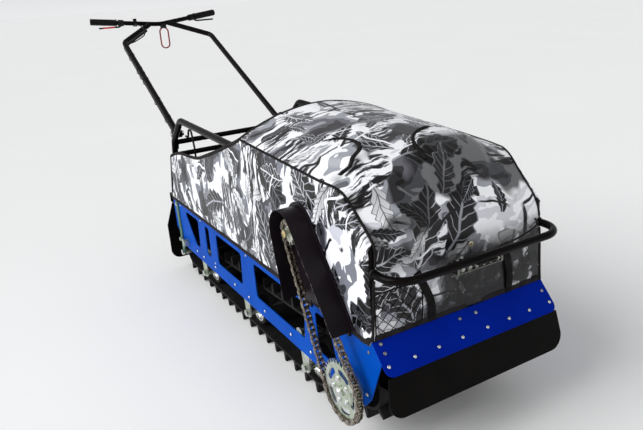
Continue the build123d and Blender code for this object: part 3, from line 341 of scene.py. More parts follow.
# shift, cells in a metre, half length, half width, tones by share, inks by share, share of cells
LEAVES = (
    (
        (0.0, 0.0, 0.0), 5.2, 0.105, 0.042,
        ((0.0, BLACK), (0.4, COAL), (0.75, WHITE)), ((0.0, GREY), (0.4, PALE), (0.75, SLATE)), 0.62,
    ),
    (
        (3.3, 1.7, 0.0), 7.4, 0.074, 0.026,
        ((0.0, WHITE), (0.55, SLATE), (0.8, BLACK)), ((0.0, COAL), (0.55, WHITE), (0.8, PALE)), 0.5,
    ),
    (
        (7.9, 5.1, 0.0), 11.0, 0.05, 0.016,
        ((0.0, COAL), (0.45, WHITE), (0.75, BLACK)), ((0.0, PALE), (0.45, BLACK), (0.75, GREY)), 0.4,
    ),
)
# shift, cells in a metre, tone, where the twigs start
TWIGS = (((1.3, 0.0, 0.0), 5.0, BLACK, 0.48), ((0.0, 2.1, 0.0), 8.0, WHITE, 0.54))
# The strip's print starts here, past the prints of both sides
STRIP_PRINT_AT = 9.0
SIDE_PRINT_GAMMA = 1.6


def leaf_cloth(shader, flat):
    """Colour of the print on flat cloth, and the flat places as the print bends them."""
    centred = shader.vector("SUBTRACT", shader.noise(9.0, 2.0, flat).outputs["Color"], (0.5, 0.5, 0.5))
    cloth = shader.vector("MULTIPLY_ADD", centred, (0.05, 0.05, 0.0), flat)
    ground = shader.cloud(1.0, 3.0, shader.mapped((7.0, 4.0, 1.0), (0, 0, 0.5), cloth), 0.5)
    patches = ((0.0, COAL), (0.4, SLATE), (0.45, GREY), (0.5, WHITE), (0.6, PALE), (0.66, WHITE))
    color = shader.ramp(ground, *patches, interpolation="CONSTANT")
    streak = shader.cloud(1.0, 5.0, shader.mapped((60.0, 9.0, 1.0), (0, 0, 0.35), cloth), 0.65)
    bark = shader.ramp(streak, (0.46, BLACK), (0.49, SLATE), (0.52, WHITE))
    color = shader.mix(shader.ramp(shader.cloud(5.2, 2.0, cloth), (0.53, 0.0), (0.54, 1.0)), color, bark)
    for layer in LEAVES:
        leaf, inside = leaf_print(shader, cloth, *layer)
        color = shader.mix(inside, color, leaf)
    for shift, size, tone, low in TWIGS:
        inputs = {"Scale": size, "Vector": shader.mapped((1.0, 0.6, 1.0), (0, 0, 0.5), cloth, shift)}
        twig = shader.add("TexVoronoi", inputs, feature="DISTANCE_TO_EDGE", voronoi_dimensions="2D")
        line = shader.ramp(twig.outputs["Distance"], (0.014, 1.0), (0.02, 0.0))
        where = shader.ramp(shader.cloud(size * 0.7, 2.0, cloth), (low, 0.0), (low + 0.02, 1.0))
        color = shader.mix(shader.mix(1.0, line, where, "MULTIPLY"), color, tone)
    return color, cloth


def camo_material():
    """Coated winter cloth: strewn veined leaves in white, greys and black over bark streaks, with twigs, and
    painted shade on the front wall.
    """
    shader = Shader("camo_fabric")
    flat = shader.nodes.new("ShaderNodeTexCoord").outputs["UV"]
    color, cloth = leaf_cloth(shader, flat)
    spot = shader.split(shader.coords)
    strip = shader.math("GREATER_THAN", shader.split(flat)["X"], STRIP_PRINT_AT - 1.0)
    front = shader.times(strip, shader.ramp(spot["X"], (0.97, 0.0), (1.0, 1.0)))
    low = shader.ramp(spot["Z"], (0.5, 1.0), (0.56, 0.0))
    left = shader.ramp(shader.math("ADD", spot["Y"], 0.5), (0.36, 0.0), (0.44, 1.0))
    # Painted shade: the front wall's print is darkened in patches, leaving out the lower part under the net
    painted_front_shade = shader.ramp(shader.cloud(6.0, 2.0, cloth), (0.47, 1.0), (0.52, 0.16))
    under_net = shader.times(low, shader.minus(1.0, left))
    color = shader.darken(shader.times(front, shader.minus(1.0, under_net)), color, painted_front_shade)
    # Painted shade on the lower front wall beside the net: almost black, with a few lighter spots
    painted_shade_spots = shader.ramp(shader.cloud(26.0, 2.0, cloth), (0.56, 0.02), (0.6, 0.6))
    color = shader.darken(shader.times(front, shader.times(low, left)), color, painted_shade_spots)
    deepened = shader.add("Gamma", {"Color": color, "Gamma": SIDE_PRINT_GAMMA})
    color = shader.mix(strip, deepened.outputs["Color"], color)
    shader.dress(color, shader.cloud(18.0, 4.0), (0.26, 0.44), Specular_IOR_Level=0.3)
    weave(shader, 0.0011, 0.15, shader.relief(shader.cloud(14.0, 4.0, roughness=0.6), 0.45, 0.008))
    return shader.material


def tape_material(name, dark, light, pitch):
    """Woven tape."""
    shader = Shader(name)
    color = shader.ramp(shader.cloud(30.0, 5.0), (0.3, dark), (0.7, light))
    shader.dress(color, shader.cloud(50.0, 3.0), (0.6, 0.85), Specular_IOR_Level=0.06)
    weave(shader, pitch, 0.6)
    return shader.material


camo_fabric = camo_material()
hem_tape = tape_material("hem_tape", (0.012, 0.010, 0.010), (0.026, 0.023, 0.023), 0.0014)
piping_cloth = tape_material("piping_cloth", (0.008, 0.007, 0.007), (0.02, 0.018, 0.018), 0.001)
webbing = tape_material("webbing", (0.006, 0.005, 0.005), (0.015, 0.013, 0.013), 0.0018)

# nodes of the part by their finish
FINISHES = {
    "blue_paint": ("side_panel_right", "side_panel_left"),
    # the apron gets the panels' blue darkened as painted shade
    "apron_blue_painted_shade": ("front_apron",),
    "black_paint": (
        "frame_rail_right", "frame_rail_left", "rear_cross_tubes", "bumper", "pivot_brackets", "handlebar",
        "handle_arm_right", "handle_arm_left", "rear_crossmember", "tow_hitch", "deck",
    ),
    "guard_paint": ("chain_guard",),
    "zinc_steel": ("wheel_axles", "rear_idler", "drive_shaft", "drive_bearings", "tension_bolts"),
    "zinc_olive": ("wheel_hangers", "drive_sprocket"),
    "strip_green": ("tensioner_strips",),
    "bright_bolt": ("pivot_bolts", "wheel_rims"),
    "shaft_end": ("small_sprocket",),
    "chain_steel": ("drive_chain",),
    "engine_cast": ("engine",),
    "track_rubber": ("track",),
    "tyre_rubber": ("wheel_tyres",),
    "flap_rubber": ("front_flap", "rear_flap"),
    "black_plastic": (
        "light_bar", "stop_switch", "tether_switch", "cable_bundle", "control_cable", "brake_lever"
    ),
    "red_lever": ("throttle_lever",),
    "red_anodised": ("tether_ring",),
}
for finish, names in FINISHES.items():
    for name in names:
        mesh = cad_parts[name].data
        mesh.materials.clear()
        mesh.materials.append(coat[finish])

# Mesh builders


def new_piece(name, verts, faces, material, body="chassis", slot=None, smooth_shade=True):
    mesh = bpy.data.meshes.new(name)
    mesh.from_pydata([tuple(v) for v in verts], [], faces)
    mesh.update()
    mesh.materials.append(material)
    if smooth_shade:
        mesh.polygons.foreach_set("use_smooth", [True] * len(mesh.polygons))
    piece = bpy.data.objects.new(name, mesh)
    bpy.context.scene.collection.objects.link(piece)
    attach(piece, body)
    return piece


def lay_print(piece, places):
    """Give a cloth the flat places, in metres, that its print is drawn in."""
    layer = piece.data.uv_layers.new(name="print")
    for loop in piece.data.loops:
        layer.data[loop.index].uv = places[loop.vertex_index]


def thicken(piece, thickness, offset=-1.0):
    solid = piece.modifiers.new("thickness", "SOLIDIFY")
    solid.thickness = thickness
    solid.offset = offset
    return piece


def grid(rows, columns, point, keep=None, flip=False):
    """Vertices and quads of a surface point(i, j), leaving out quads whose middle isn't kept."""
    verts = [point(i, j) for i in range(rows) for j in range(columns)]
    faces = []
    for i in range(rows - 1):
        for j in range(columns - 1):
            a = i * columns + j
            quad = (a, a + 1, a + columns + 1, a + columns)
            middle = sum((verts[k] for k in quad), Vector()) / 4
            if keep is None or keep(middle):
                faces.append(quad[::-1] if flip else quad)
    return verts, faces


def tube_faces(rings, count, closed=False):
    """Quads between rings of points in a row, with end faces unless the row closes."""
    faces = []
    for i in range(rings if closed else rings - 1):
        a, b = i * count, (i + 1) % rings * count
        for k in range(count):
            n = (k + 1) % count
            faces.append((a + k, a + n, b + n, b + k))
    if not closed:
        faces.append(tuple(reversed(range(count))))
        faces.append(tuple(range((rings - 1) * count, rings * count)))
    return faces


def turned(points, sides, origin, axis):
    """Vertices and faces of a shape turned about an axis, from (step along it, radius)."""
    axis = axis.normalized()
    side = axis.orthogonal().normalized()
    other = axis.cross(side)
    verts = []
    for step, radius in points:
        for k in range(sides):
            a = 2 * pi * k / sides
            verts.append(origin + axis * step + (side * cos(a) + other * sin(a)) * radius)
    return verts, tube_faces(len(points), sides)


def swept(points, outline, closed=False, up=UPWARD):
    """A closed outline carried along points, kept upright by the up vector."""
    verts = []
    total = len(points)
    for i, p in enumerate(points):
        before = points[i - 1] if i or closed else p
        after = points[(i + 1) % total] if i < total - 1 or closed else p
        along = (after - before).normalized()
        side = along.cross(up)
        side = side.normalized() if side.length > 1e-6 else along.orthogonal().normalized()
        top = side.cross(along)
        verts += [p + side * u + top * v for u, v in outline]
    return verts, tube_faces(total, len(outline), closed)


def circle(radius, sides=10):
    return [(radius * cos(2 * pi * k / sides), radius * sin(2 * pi * k / sides)) for k in range(sides)]


def joined(parts):
    verts, faces = [], []
    for part_verts, part_faces in parts:
        base = len(verts)
        verts += part_verts
        faces += [tuple(base + k for k in face) for face in part_faces]
    return verts, faces


def rounded(points, radius, step):
    """Points at even steps along a polyline in 2-D or 3-D whose corners are rounded."""
    corners = [Vector(p) for p in points]
    dense = [corners[0]]
    for before, corner, after in zip(corners, corners[1:], corners[2:]):
        to_before = before - corner
        to_after = after - corner
        reach = min(radius, to_before.length * 0.45, to_after.length * 0.45)
        first = corner + to_before.normalized() * reach
        last = corner + to_after.normalized() * reach
        for k in range(13):
            t = k / 12
            dense.append(first * (1 - t) ** 2 + corner * 2 * t * (1 - t) + last * t * t)
    dense.append(corners[-1])
    lengths = [0.0]
    for a, b in zip(dense, dense[1:]):
        lengths.append(lengths[-1] + (b - a).length)
    count = max(2, round(lengths[-1] / step) + 1)
    even = []
    k = 0
    for i in range(count):
        want = lengths[-1] * i / (count - 1)
        while k < len(lengths) - 2 and lengths[k + 1] < want:
            k += 1
        span = lengths[k + 1] - lengths[k]
        even.append(dense[k].lerp(dense[k + 1], (want - lengths[k]) / span if span else 0.0))
    return even


def between(x, table):
    """Value at x in a table of (x, value), straight between rows."""
    for (x0, v0), (x1, v1) in zip(table, table[1:]):
        if x <= x1:
            return v0 + (v1 - v0) * clamp((x - x0) / (x1 - x0), 0.0, 1.0)
    return table[-1][1]


def ridge(x, y, seed):
    """Height from 0 to 1 of narrow creases running through a plane."""
    value = 1 - abs(noise.noise(Vector((x, y, seed))))
    return value ** 4


# Fabric cover: two side walls and one strip over the top and down the front.
# The side's upper edge: the opening over the load space, then the seam down to the apron.
TOP_REAR = (-683, 736)
NOSE_Z = 586
FRONT_X = 0.3
OPENING = (
    (-1462, 546), (-1390, 569), (-1300, 586), (-1209, 590), (-1110, 599), (-960, 644), (-855, 677), TOP_REAR
)
SEAM = (TOP_REAR, (-314, 715), (-122, 701), (0, NOSE_Z), (FRONT_X, FRONT_HEM_Z))
OPENING_R = 90.0
SEAM_R = 34.0
# x or z along the seam, half width of the strip there
SEAM_HALF_TOP = (
    (TOP_REAR[0], 283), (-330, 282), (-200, 278), (-150, 272), (-116, 265), (-80, 260), (-40, 257), (0, 256)
)
SEAM_HALF_FRONT = ((FRONT_HEM_Z, 277), (385, 274), (490, 268), (540, 262), (NOSE_Z, 256))
NOSE_X = -12.0
SEAM_LOW = 583.0
ROLL_TOP = 42.0
ROLL_FRONT = 24.0
# middle x and z of the guard's corners, radius there
GUARD = ((*SMALL_SPROCKET, 84.0), (-330.0, PANEL_TOP, 20.0), (-76.0, PANEL_TOP, 20.0))
# places the cloth is pulled from, in x and z
STRAIN = ((-1462, 546), (-683, 735), (0, NOSE_Z), (REAR_X, 345), (0, 350))
LEG_Y = 264.2
LEG_Z = 527.0
LEG_HOLE_R = 0.0118
SHAFT_HOLE_R = 0.0135
# sloping rail from its upper to its lower end, and the radius of the cloth over it
FRONT_TUBE = ((-118.0, 675.0), (-16.0, 579.0))
OVER_TUBE_R = 13.6
CLOTH_T = 0.0014
SIDE_ROWS = 64
STRIP_COLUMNS = 81
# heights of the side cloth's belly, pulled folds, creases, waves and hem puckers, and two lengths
BELLY, FOLD, CREASE, WAVE, PUCKER = 5.5, 4.5, 2.2, 1.5, 0.9
FOLD_REACH = 210.0
PUCKER_PITCH = 128.0

opening_line = rounded(OPENING, OPENING_R, 9.0)
seam_line = rounded(SEAM, SEAM_R, 7.0)
edge_top = opening_line + [p for p in seam_line[1:] if p.y > SEAM_LOW]


def seam_half(x, z):
    """Half width between the two seams at a place of the seam."""
    if z < NOSE_Z and x > NOSE_X:
        return between(z, SEAM_HALF_FRONT)
    return between(x, SEAM_HALF_TOP)


def seam_height(x):
    """Height of the side's upper edge above x."""
    return between(x, [(p.x, p.y) for p in edge_top])


def guard_share(x, z):
    """1 where the chain guard lies flat on the cloth, falling to 0 outside it."""
    (x0, z0, r0), (x1, z1, r1), (x2, _, r2) = GUARD
    t = clamp((z - z1) / (z0 - z1), 0.0, 1.0)
    left = x1 + (x0 - x1) * t - (r1 + (r0 - r1) * t)
    right = x2 + (x0 - x2) * t + (r2 + (r0 - r2) * t)
    inside = min(x - left, right - x, z0 + r0 - z)
    return smooth(-45.0, 0.0, inside)


def side_swell(x, z, high, seed):
    """Outward step of the side cloth in millimetres: a soft belly and pulled folds."""
    share = clamp((z - HEM_Z) / (high - HEM_Z), 0.0, 1.0)
    belly = BELLY * sin(pi * share) ** 0.7 * smooth(REAR_X, REAR_X + 200, x) * smooth(0, -150, x)
    folds = 0.0
    for cx, cz in STRAIN:
        away = hypot(x - cx, z - cz)
        turn = atan2(z - cz, x - cx)
        fade = exp(-away / FOLD_REACH) * smooth(0, 60, away)
        folds += FOLD * fade * noise.noise(Vector((turn * 3.4, away * 0.004, seed + cx * 0.01)))
    slack = CREASE * ridge(x * 0.0042 + z * 0.003, z * 0.0062 - x * 0.0012, seed)
    slack += WAVE * noise.noise(Vector((x * 0.009, z * 0.012, seed + 4)))
    pucker = PUCKER * sin(x * 2 * pi / PUCKER_PITCH) * exp(-(z - HEM_Z) / 34.0)
    hold = smooth(0.0, 0.12, share) * smooth(1.0, 0.88, share)
    return belly + (folds + slack) * (0.25 + 0.75 * hold) + pucker


def side_roll(x, z, high):
    """Inward step where the side cloth rounds over the tubes towards its seams."""
    if x < TOP_REAR[0]:
        return 0.0
    top = clamp(1 - (high - z) / ROLL_TOP, 0.0, 1.0)
    front = clamp(1 + x / ROLL_FRONT, 0.0, 1.0)
    share = min(1.0, hypot(top, front))
    if share == 0:
        return 0.0
    at_top = COVER_Y - between(x, SEAM_HALF_TOP)
    at_front = COVER_Y - between(z, SEAM_HALF_FRONT)
    inset = (at_top * top**2 + at_front * front**2) / (top**2 + front**2)
    return inset * (1 - sqrt(1 - share**2))


def over_tubes(x, z):
    """Half width the cloth needs to lie over the front post and the sloping rail above it."""
    (x0, z0), (x1, z1) = FRONT_TUBE
    dx, dz = x1 - x0, z1 - z0
    share = clamp(((x - x0) * dx + (z - z0) * dz) / (dx**2 + dz**2), 0.0, 1.0)
    away = hypot(x - x0 - share * dx, z - z0 - share * dz)
    if z < z1:
        away = min(away, abs(x - x1))
    return LEG_Y + sqrt(OVER_TUBE_R**2 - away**2) if away < OVER_TUBE_R else 0.0


def clear_of_legs(middle):
    """False where a bumper leg comes through the cloth."""
    away = hypot(abs(middle.y) - LEG_Y / 1000, middle.z - LEG_Z / 1000)
    return middle.x < place(-30, 0, 0).x or away > LEG_HOLE_R


def side_cover(name, side, node, seed):
    columns = len(edge_top)
    first, last = edge_top[0].x, edge_top[-1].x

    def point(i, j):
        top = edge_top[j]
        share = (top.x - first) / (last - first)
        low_x = REAR_X + share * (FRONT_X - REAR_X)
        t = 1 - (1 - i / (SIDE_ROWS - 1)) ** 1.25
        x = low_x + (top.x - low_x) * t
        z = HEM_Z + (top.y - HEM_Z) * t
        high = max(seam_height(x), z)
        step = side_swell(x, z, high, seed)
        if side < 0:
            step *= 1 - guard_share(x, z)
        edge = smooth(1.0, 0.93, t) * smooth(0.0, 0.06, t)
        step = clamp(step, -2.0, 9.0) * (0.2 + 0.8 * edge) * smooth(-2.0, -40.0, x)
        half = COVER_Y - 0.6 + step - side_roll(x, z, high)
        return place(x, side * max(half, over_tubes(x, z)), z)

    def keep(middle):
        away = middle - place(SMALL_SPROCKET[0], 0, SMALL_SPROCKET[1])
        return clear_of_legs(middle) and (side > 0 or hypot(away.x, away.z) > SHAFT_HOLE_R)

    verts, faces = grid(SIDE_ROWS, columns, point, keep, flip=side > 0)
    piece = new_piece(name, verts, faces, camo_fabric, slot="camo_fabric")
    lay_print(piece, [(v.x + 3.0 * side, v.z) for v in verts])
    thicken(piece, CLOTH_T)
    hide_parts(node)
    return piece


right_cover = side_cover("cover_cloth_right", -1, "cover_side_right", 3.0)
left_cover = side_cover("cover_cloth_left", 1, "cover_side_left", 11.0)

# x along the top, height of the crown there
CROWN = ((TOP_REAR[0], 73), (-314, 69), (-122, 47), (-20, 17), (0, 9))
# middle x, middle y, half length, half width, turn, rise
VENTS = (
    (-266.0, -186.0, 104.0, 54.0, 0.2, 17.0),
    (-150.0, 84.0, 92.0, 108.0, 0.3, 15.0),
)
# lip of each vent from above
VENT_LIPS = (
    (
        (-172, -238), (-176, -214), (-185, -188), (-206, -150),
        (-244, -139), (-277, -139), (-313, -153), (-350, -172),
    ),
    ((-118, -26), (-161, -18), (-190, 0), (-214, 41), (-236, 93), (-238, 137), (-222, 176)),
)


def vent_rise(x, y):
    """Raised air scoops in the top: steep at the lip, fading into the cloth behind it."""
    rise = 0.0
    for mx, my, length, width, turn, height in VENTS:
        u = ((x - mx) * cos(turn) + (y - my) * sin(turn)) / length
        v = ((y - my) * cos(turn) - (x - mx) * sin(turn)) / width
        behind = smooth(-0.9, 0.5, u if my < 0 else -u)
        rise += height * smooth(1.0, 0.82, hypot(u, v)) * (0.35 + 0.65 * behind)
    return rise


def strip_point(p, share):
    """Point on the strip at a place p = (x, z) of the seam and a share from -1 to 1 across it."""
    x, z = p.x, p.y
    lift = 1 - share * share
    y = share * seam_half(x, z)
    if z > NOSE_Z or x < NOSE_X:
        rise = between(x, CROWN) * lift
        fold = 2.6 * ridge(x * 0.004 + y * 0.0016, y * 0.0075, 7.0) - 1.2
        fold += 1.6 * noise.noise(Vector((x * 0.011, y * 0.008, 21.0)))
        edge = smooth(1.0, 0.9, abs(share))
        rear = 1 - 0.75 * smooth(-640.0, TOP_REAR[0], x)
        slope = smooth(-150.0, -90.0, x)
        step = rise + (fold * rear + vent_rise(x, y)) * edge
        return place(x + step * 0.5 * slope, y, z + step * (1 - 0.3 * slope))
    high = smooth(470.0, NOSE_Z, z)
    bulge = (3.0 + 2.0 * high) * lift
    fold = 3.0 * ridge(y * 0.008, z * 0.0025, 31.0) * smooth(FRONT_HEM_Z, FRONT_HEM_Z + 60, z) - 0.6
    fold += 1.4 * noise.noise(Vector((y * 0.014, z * 0.008, 5.0)))
    return place(x + bulge + fold * smooth(1.0, 0.92, abs(share)), y, z)


def strip_cover():
    def point(i, j):
        return strip_point(seam_line[i], j / (STRIP_COLUMNS - 1) * 2 - 1)

    verts, faces = grid(len(seam_line), STRIP_COLUMNS, point, clear_of_legs)
    piece = new_piece("cover_cloth_top", verts, faces, camo_fabric, slot="camo_fabric")
    step = seam_length / 1000 / (len(seam_line) - 1)
    lay_print(piece, [(k // STRIP_COLUMNS * step + STRIP_PRINT_AT, v.y) for k, v in enumerate(verts)])
    thicken(piece, CLOTH_T)
    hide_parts("cover_top", "cover_front")
    return piece


seam_length = sum((b - a).length for a, b in zip(seam_line, seam_line[1:]))
top_cover = strip_cover()


# Piping on the seams, tape on the opening's edges and along the hem
PIPING_R = 0.0034
# outlines of the bands, across and out, in metres
OPENING_BAND = ((-0.0021, -0.009), (0.0021, -0.009), (0.0026, 0.0012), (0.0, 0.0028), (-0.0026, 0.0012))
TOP_BAND = (
    (-0.002, -0.0022), (0.011, -0.0022), (0.0125, 0.0), (0.011, 0.0022), (-0.002, 0.0022), (-0.003, 0.0)
)
HEM_BAND = (
    (-0.0012, -0.0075), (0.0012, -0.0075), (0.0016, -0.006),
    (0.0016, 0.005), (0.0010, 0.0065), (-0.0012, 0.0065),
)
VENT_BAND = (
    (-0.005, -0.003), (0.005, -0.003), (0.006, 0.001), (0.003, 0.0035), (-0.003, 0.0035), (-0.006, 0.001)
)
STRAP_BAND = (
    (-0.011, -0.0009), (0.011, -0.0009), (0.0114, 0.0), (0.011, 0.0009), (-0.011, 0.0009), (-0.0114, 0.0)
)
VENT_LIFT = 0.002
TIE_BAND = ((-0.0007, -0.0022), (0.0007, -0.0022), (0.0007, 0.0022), (-0.0007, 0.0022))


def seam_piping(name, side):
    runs = [[]]
    for p in seam_line:
        point = place(p.x + 0.5, side * (seam_half(p.x, p.y) + 0.8), p.y + 0.6)
        if clear_of_legs(point):
            runs[-1].append(point)
        elif runs[-1]:
            runs.append([])
    parts = [swept(points, circle(PIPING_R), up=LEFTWARD) for points in runs if len(points) > 1]
    return new_piece(name, *joined(parts), piping_cloth, slot="strap_fabric")


def opening_tape(name, side):
    edge = [place(p.x, side * (COVER_Y - 0.6), p.y) for p in [Vector((REAR_X, HEM_Z)), *opening_line]]
    edge = rounded(edge, 0.02, 0.008)
    return new_piece(name, *swept(edge, OPENING_BAND), hem_tape, slot="strap_fabric")


def top_edge_tape():
    edge = [strip_point(seam_line[0], k / 30 - 1) for k in range(61)]
    return new_piece("opening_tape_top", *swept(edge, TOP_BAND), hem_tape, slot="strap_fabric")


def hem_tape_band():
    """Tape round the hem, from the right rear round the front to the left rear."""
    corners = [(REAR_X, -COVER_Y), (1.0, -COVER_Y), (1.0, COVER_Y), (REAR_X, COVER_Y)]
    points = []
    for p in rounded(corners, 20.0, 9.0):
        out = -1.2 if p.y < 0 and -430.0 < p.x < -40.0 else 0.8
        front = smooth(-24.0, -2.0, p.x)
        z = HEM_Z + 8.0 + (FRONT_HEM_Z - HEM_Z) * front
        y = (p.y + (out if p.y > 0 else -out)) * (1 - 0.012 * front)
        points.append(place(p.x + 2.0 * front, y, z))
    return new_piece("hem_tape", *swept(points, HEM_BAND), hem_tape, slot="strap_fabric")


right_piping = seam_piping("seam_piping_right", -1)
left_piping = seam_piping("seam_piping_left", 1)
right_opening = opening_tape("opening_tape_right", -1)
left_opening = opening_tape("opening_tape_left", 1)
top_tape = top_edge_tape()
hem = hem_tape_band()


def on_top(x, y):
    """Point of the top cloth above (x, y)."""
    z = seam_height(x)
    return strip_point(Vector((x, z)), y / seam_half(x, z))


def vent_binding(name, lip):
    line = rounded([(x, y, 0.0) for x, y in lip], 30.0, 6.0)
    points = [on_top(p.x, p.y) + UPWARD * VENT_LIFT for p in line]
    return new_piece(name, *swept(points, VENT_BAND), piping_cloth, slot="strap_fabric")


right_vent = vent_binding("vent_binding_right", VENT_LIPS[0])
left_vent = vent_binding("vent_binding_left", VENT_LIPS[1])


# step forward and radius of a sleeve, in metres
SLEEVE = ((0.0, 0.0101), (0.0, 0.0128), (0.017, 0.0128), (0.0185, 0.0118), (0.0185, 0.0101))
SLEEVE_X = -17.0


def leg_sleeves():
    """Rubber sleeves where the bumper's legs come through the cloth."""
    parts = [turned(SLEEVE, 24, place(SLEEVE_X, side * LEG_Y, LEG_Z), FORWARD) for side in (-1, 1)]
    return new_piece("leg_sleeves", *joined(parts), coat["black_plastic"], slot="black_plastic")


leg_sleeves()


HEAD_SINK = 0.0004


def heads(name, places, radius, height, finish, sides):
    """Bolt or rivet heads standing on faces, from (point, outward direction); six sides get a washer."""
    crown = [(step * height, share * radius) for step, share in ((0.62, 1.0), (0.9, 0.82), (1.0, 0.45))]
    washer = [(-HEAD_SINK, radius * 1.45), (height * 0.2, radius * 1.45)]
    parts = []
    for point, out in places:
        parts.append(turned([(-HEAD_SINK, radius), *crown], sides, point, Vector(out)))
        if sides == 6:
            parts.append(turned(washer, 18, point, Vector(out)))
    return new_piece(name, *joined(parts), coat[finish], slot="zinc_steel", smooth_shade=sides != 6)


def on_sides(y, painted_shade_spots):
    """Places (x, z) on both sides of the machine, facing outward."""
    return [(place(x, side * y, z), (0, side, 0)) for side in (-1, 1) for x, z in painted_shade_spots]


def round_axis(x, z, side, y, radius, count, turn):
    """Places on a circle round a crosswise axis on one side of the machine, facing outward."""
    angles = [2 * pi * k / count + turn for k in range(count)]
    return [(place(x + radius * cos(a), side * y, z + radius * sin(a)), (0, side, 0)) for a in angles]


STUD_PLACES = ((-28, 379), (-1488, 372))
stud_places = on_sides(COVER_Y + 1.2, STUD_PLACES)
studs = heads("cover_studs", stud_places, 0.0062, 0.004, "bright_bolt", 16)

# Bolts and rivets on the panels, the apron, the wheels, the bearings and the rear
PANEL_BOLTS = (-1279, -1201, -1072, -878, -754, -627, -442, -318)
PANEL_SCREWS = ((-744, 330), (-1072, 188), (-1190, 330), (-14, 322), (-1440, 330), (-320, 330))
APRON_ROW = (-266, -190, -117, -41, 42, 117, 190, 266)
APRON_BOLTS = ((6.2, -261), (22.3, -261), (13.8, -24), (13.8, 29), (20.1, 262))
APRON_SLOPE = Vector((62.0, 0.0, -67.0))
APRON_T = 0.003
RIVET_SHARE = 0.71
WHEELS = ((-1223, 94), (-793, 94), (-367, 94))
SHAFT_END_Y = -326.0
# y of their face, radius of their circle, number, turn
WHEEL_BOLTS = (223.5, 29.5, 5, 0.3)
BEARING_BOLTS = (292.0, 33.0, 4, pi / 4)
SPROCKET_BOLTS = (321.0, 33.0, 5, pi / 5)
apron_out = Vector((67.0, 0.0, 62.0)).normalized()


def on_apron(share, y):
    """A place on the apron's face, by its share of the way down."""
    return place(0, y, PANEL_TOP) + APRON_SLOPE * (0.001 * share) + apron_out * APRON_T, apron_out


panel_places = on_sides(PANEL_Y, [*((x, 172) for x in PANEL_BOLTS), (-28, 196)])
dark_places = on_sides(PANEL_Y, PANEL_SCREWS)
apron_places = [on_apron(RIVET_SHARE, y) for y in APRON_ROW]
apron_dark = [on_apron(x / APRON_SLOPE.x, y) for x, y in APRON_BOLTS]
wheel_places = []
bearing_places = []
for side in (-1, 1):
    for x, z in WHEELS:
        wheel_places += round_axis(x, z, side, *WHEEL_BOLTS)
    bearing_places += round_axis(*DRIVE_AXIS, side, *BEARING_BOLTS)
sprocket_places = round_axis(*DRIVE_AXIS, -1, *SPROCKET_BOLTS)
shaft_places = [(place(DRIVE_AXIS[0], SHAFT_END_Y, DRIVE_AXIS[1]), (0, -1, 0))]
rear_places = [(place(-1589, y, 332), (-1, 0, 0)) for y in (-262, -130, 130, 262)]
hitch_places = [(place(-1559, y, 361), (0, 0, 1)) for y in (-22, 22)]
strip_places = on_sides(285.0, ((-1482, 326),))
guard_places = [(place(x, -286.1, 340), (0, -1, 0)) for x in (-300, -106)]
# name, places, radius, height, finish, sides
BOLTS = (
    ("panel_bolts", panel_places, 0.0048, 0.0045, "bright_bolt", 14),
    ("panel_screws", dark_places, 0.0042, 0.003, "dark_bolt", 14),
    ("apron_rivets", apron_places, 0.0046, 0.0034, "bright_bolt", 16),
    ("apron_bolts", apron_dark, 0.0046, 0.0034, "dark_bolt", 14),
    ("wheel_bolts", wheel_places, 0.0048, 0.006, "bright_bolt", 6),
    ("bearing_bolts", bearing_places, 0.0042, 0.0045, "bright_bolt", 6),
    ("sprocket_bolts", sprocket_places, 0.0066, 0.0072, "bright_bolt", 6),
    ("shaft_bolt", shaft_places, 0.0095, 0.007, "bright_bolt", 6),
    ("rear_flap_bolts", rear_places, 0.006, 0.005, "bright_bolt", 6),
    ("hitch_bolts", hitch_places, 0.0065, 0.006, "bright_bolt", 6),
    ("strip_bolts", strip_places, 0.006, 0.005, "bright_bolt", 6),
    ("guard_screws", guard_places, 0.0042, 0.0035, "dark_bolt", 14),
)
for row in BOLTS:
    heads(*row)

# Track lugs: ribs that turn each bar into a star
LOOP = ((*DRIVE_AXIS, 76.0), (-1470.0, 108.0, 70.0), (-1223.0, 94.0, 64.0), (-367.0, 94.0, 64.0))
LUG_COUNT = 46
# middle of the band of lugs, shift along the track in steps
LUG_BANDS = ((-171.0, 0.5), (0.0, 0.0), (171.0, 0.5))
# step across a lug, way along the track
RIBS = ((-44.0, 1), (-44.0, -1), (44.0, 1), (44.0, -1))
# step along the track and out of it, in metres
RIB_SIDE = ((0.006, -0.001), (0.019, -0.001), (0.019, 0.004), (0.006, 0.0255))
RIB_HALF = Vector((0, 0.005, 0))
RIB_FACES = ((0, 1, 2, 3), (7, 6, 5, 4), (0, 4, 5, 1), (1, 5, 6, 2), (2, 6, 7, 3), (3, 7, 4, 0))


def on_arc(x, z, radius, angle):
    return x + radius * cos(angle), z + radius * sin(angle), angle


def track_places():
    """Points (x, z, outward angle) of the belt's outer face at each lug, and half a step along."""
    normals = []
    for (x0, z0, r0), (x1, z1, r1) in zip(LOOP, LOOP[1:] + LOOP[:1]):
        normals.append(atan2(z1 - z0, x1 - x0) - acos((r0 - r1) / hypot(x1 - x0, z1 - z0)))
    runs = []
    for i, (x0, z0, r0) in enumerate(LOOP):
        x1, z1, r1 = LOOP[(i + 1) % len(LOOP)]
        a = normals[i]
        start = Vector((x0 + r0 * cos(a), z0 + r0 * sin(a)))
        stop = Vector((x1 + r1 * cos(a), z1 + r1 * sin(a)))
        runs.append(((stop - start).length, lambda t, p=start, q=stop, n=a: (*p.lerp(q, t), n)))
        turn = (normals[(i + 1) % len(LOOP)] - a) % (2 * pi)
        runs.append((r1 * turn, lambda t, c=(x1, z1), r=r1, n=a, w=turn: on_arc(*c, r, n + t * w)))
    total = sum(length for length, where in runs)

    def at(distance):
        distance %= total
        for length, where in runs:
            if distance <= length:
                return where(distance / length)
            distance -= length
        return runs[-1][1](1.0)

    return at, total / LUG_COUNT


